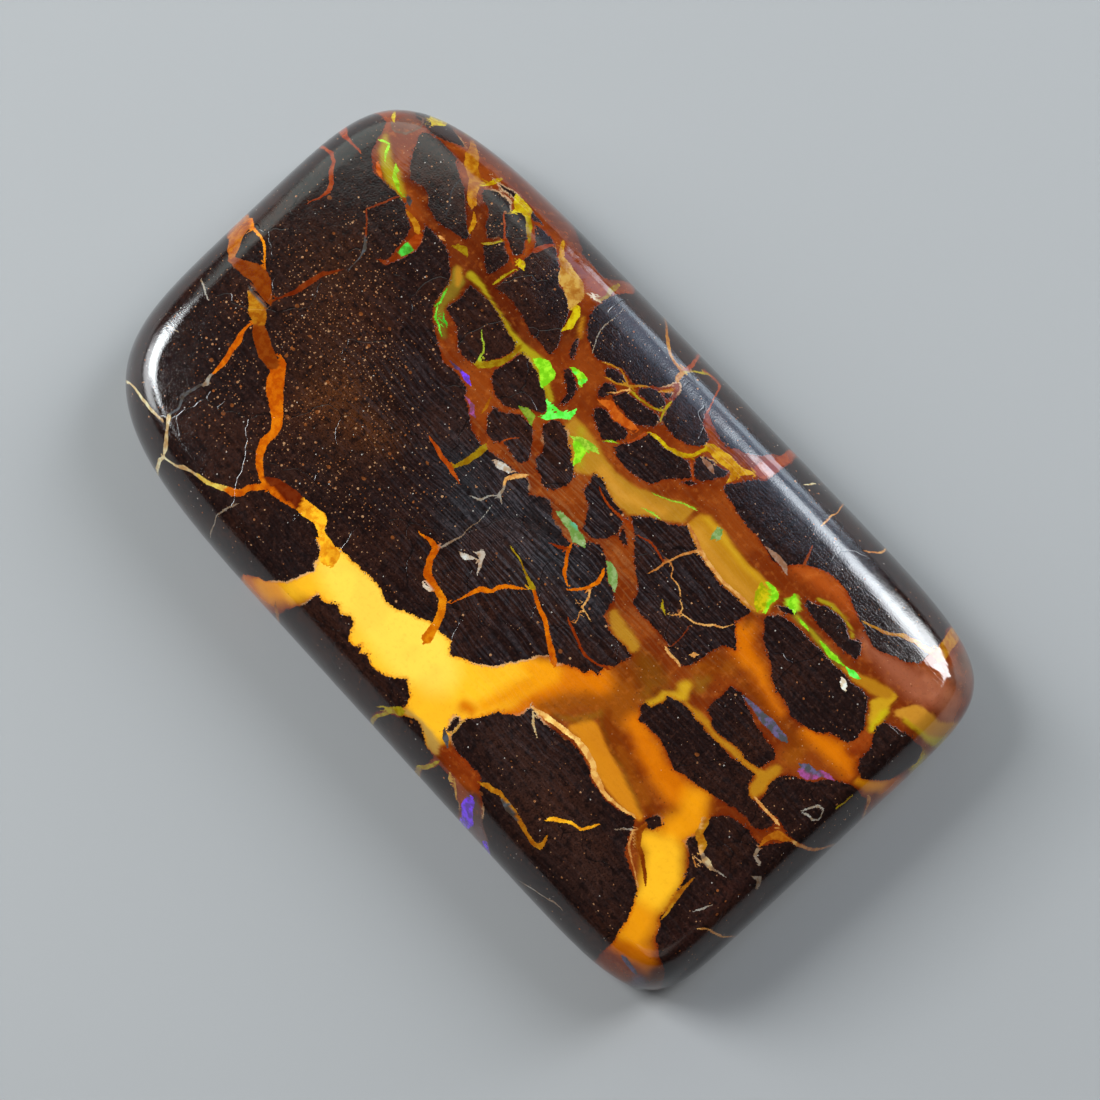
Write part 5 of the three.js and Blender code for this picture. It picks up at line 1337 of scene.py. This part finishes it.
def back_colour(n):
    """The ground back: dull and paler than the face, with rusty patches, seams and grinding marks."""
    ground = n.mixed(n.rise(n.patches, 0.35, 0.62), rgb("back_dark"), rgb("back_pale"))
    ground = n.mottled(ground, BACK_MOTTLING)
    seams = n.noise(n.stretched(n.place, 1.0, 1.6, 1.0), 0.14, 3, 0.55)
    seams = n.rise(n.maths("ABSOLUTE", n.minus(seams, 0.5)), 0.009, 0.004)
    ground = n.over(ground, n.times(seams, n.rise(n.jagged, 0.35, 0.5)), "back_seam")
    return n.over(ground, n.times(n.lines, 0.25), "back_line")


def roughness(n, is_opal, crust, back):
    rough = n.plus(n.times(n.minus(1.0, is_opal), STONE_POLISH_LOSS), POLISH)
    rough = n.plus(rough, n.times(n.rise(n.medium, 0.4, 0.8), WEAR_POLISH_LOSS))
    rough = n.plus(rough, n.times(crust, CRUST_POLISH_LOSS))
    return n.plus(rough, n.times(back, BACK_POLISH_LOSS))


def unevenness(n, is_opal, cracks, back):
    """The surface's fine ups and downs, in millimetres, as a bumped normal."""
    height = n.times(n.times(cracks, n.minus(1.0, is_opal)), CRACK_HEIGHT)
    height = n.plus(height, n.times(n.minus(1.15, is_opal), n.times(n.fine, GRAIN_HEIGHT)))
    height = n.plus(height, n.times(n.broad, SWELL_HEIGHT))
    height = n.plus(height, n.times(n.lines, LINE_HEIGHT))
    height = n.plus(height, n.times(back, n.times(n.fine, BACK_GRAIN_HEIGHT)))
    values = {"Strength": BUMP_STRENGTH, "Distance": MM, "Height": height}
    return n.node("ShaderNodeBump", values).outputs["Normal"]


def make_material():
    """Opal over ironstone, with a crust between them, veins and flashes, and a ground back."""
    material = bpy.data.materials.new("opal in ironstone")
    material.use_nodes = True
    n = Nodes(material.node_tree)
    cracks = cracks_of(n)
    depth = opal_depth(n)
    crust = crust_between(n, depth)
    back = n.stored("ground_back")
    is_opal = n.rise(depth, -0.012, 0.012)
    colour = n.mixed(is_opal, stone_colour(n, cracks), opal_colour(n, depth))
    colour = n.over(colour, n.times(crust, 0.55), "crust")
    colour = with_flashes(n, with_veins(n, colour))
    colour = n.mixed(back, colour, back_colour(n))
    inputs = {
        "Base Color": n.mixed(1.0, colour, (TONE, TONE, TONE, 1), "MULTIPLY"),
        "Roughness": roughness(n, is_opal, crust, back),
        "Normal": unevenness(n, is_opal, cracks, back),
    }
    shader = material.node_tree.nodes["Principled BSDF"]
    shader.inputs["IOR"].default_value = REFRACTION
    for name, value in inputs.items():
        material.node_tree.links.new(value, shader.inputs[name])
    return material


def make_stone():
    mesh, vertices, skin = build_stone()
    paint(mesh, vertices, skin)
    mesh.materials.append(make_material())
    stone = bpy.data.objects.new("stone", mesh)
    bpy.context.scene.collection.objects.link(stone)
    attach(stone, "root")
    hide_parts(NODE)


def camera_axes():
    right = Vector((math.cos(AZIMUTH), math.sin(AZIMUTH), 0))
    flat = Vector((math.sin(AZIMUTH), -math.cos(AZIMUTH), 0))
    back = flat * math.cos(ELEVATION) + Vector((0, 0, math.sin(ELEVATION)))
    return right, back.cross(right), back


def make_camera():
    right, up, back = camera_axes()
    data = bpy.data.cameras.new("camera")
    data.lens = LENS
    data.sensor_width = SENSOR
    data.clip_start = MM
    camera = bpy.data.objects.new("camera", data)
    turn = Matrix((right, up, back)).transposed().to_4x4()
    camera.matrix_world = Matrix.Translation((TARGET + back * DISTANCE) * MM) @ turn
    bpy.context.scene.collection.objects.link(camera)
    bpy.context.scene.camera = camera


def make_floor():
    corners = [(x * FLOOR_REACH, y * FLOOR_REACH, 0) for x, y in ((-1, -1), (1, -1), (1, 1), (-1, 1))]
    mesh = bpy.data.meshes.new("floor")
    mesh.from_pydata(corners, [], [(0, 1, 2, 3)])
    material = bpy.data.materials.new("pale floor")
    material.use_nodes = True
    shader = material.node_tree.nodes["Principled BSDF"]
    shader.inputs["Base Color"].default_value = rgb("floor")
    shader.inputs["Roughness"].default_value = FLOOR_ROUGHNESS
    mesh.materials.append(material)
    floor = bpy.data.objects.new("floor", mesh)
    bpy.context.scene.collection.objects.link(floor)


def make_light(name, azimuth, elevation, wide, high, brightness, tint):
    """A softbox that faces the middle of the stone."""
    data = bpy.data.lights.new(name, "AREA")
    data.shape = "RECTANGLE"
    data.size = 2 * LIGHT_DISTANCE * math.tan(math.radians(wide / 2))
    data.size_y = 2 * LIGHT_DISTANCE * math.tan(math.radians(high / 2))
    data.energy = brightness * math.pi * data.size * data.size_y
    data.color = tint
    light = bpy.data.objects.new(name, data)
    flat = math.cos(math.radians(elevation))
    around = math.radians(azimuth)
    towards = Vector((flat * math.cos(around), flat * math.sin(around), math.sin(math.radians(elevation))))
    turn = towards.to_track_quat("Z", "Y").to_matrix().to_4x4()
    light.matrix_world = Matrix.Translation(towards * LIGHT_DISTANCE) @ turn
    bpy.context.scene.collection.objects.link(light)


def make_room():
    """The dim light that comes from everywhere."""
    world = bpy.data.worlds.new("dim room")
    world.use_nodes = True
    background = world.node_tree.nodes["Background"]
    background.inputs["Color"].default_value = ROOM_TINT
    background.inputs["Strength"].default_value = ROOM_STRENGTH
    bpy.context.scene.world = world


make_stone()
make_camera()
make_floor()
for light in LIGHTS:
    make_light(*light)
make_room()
bpy.context.scene.view_settings.view_transform = "Standard"
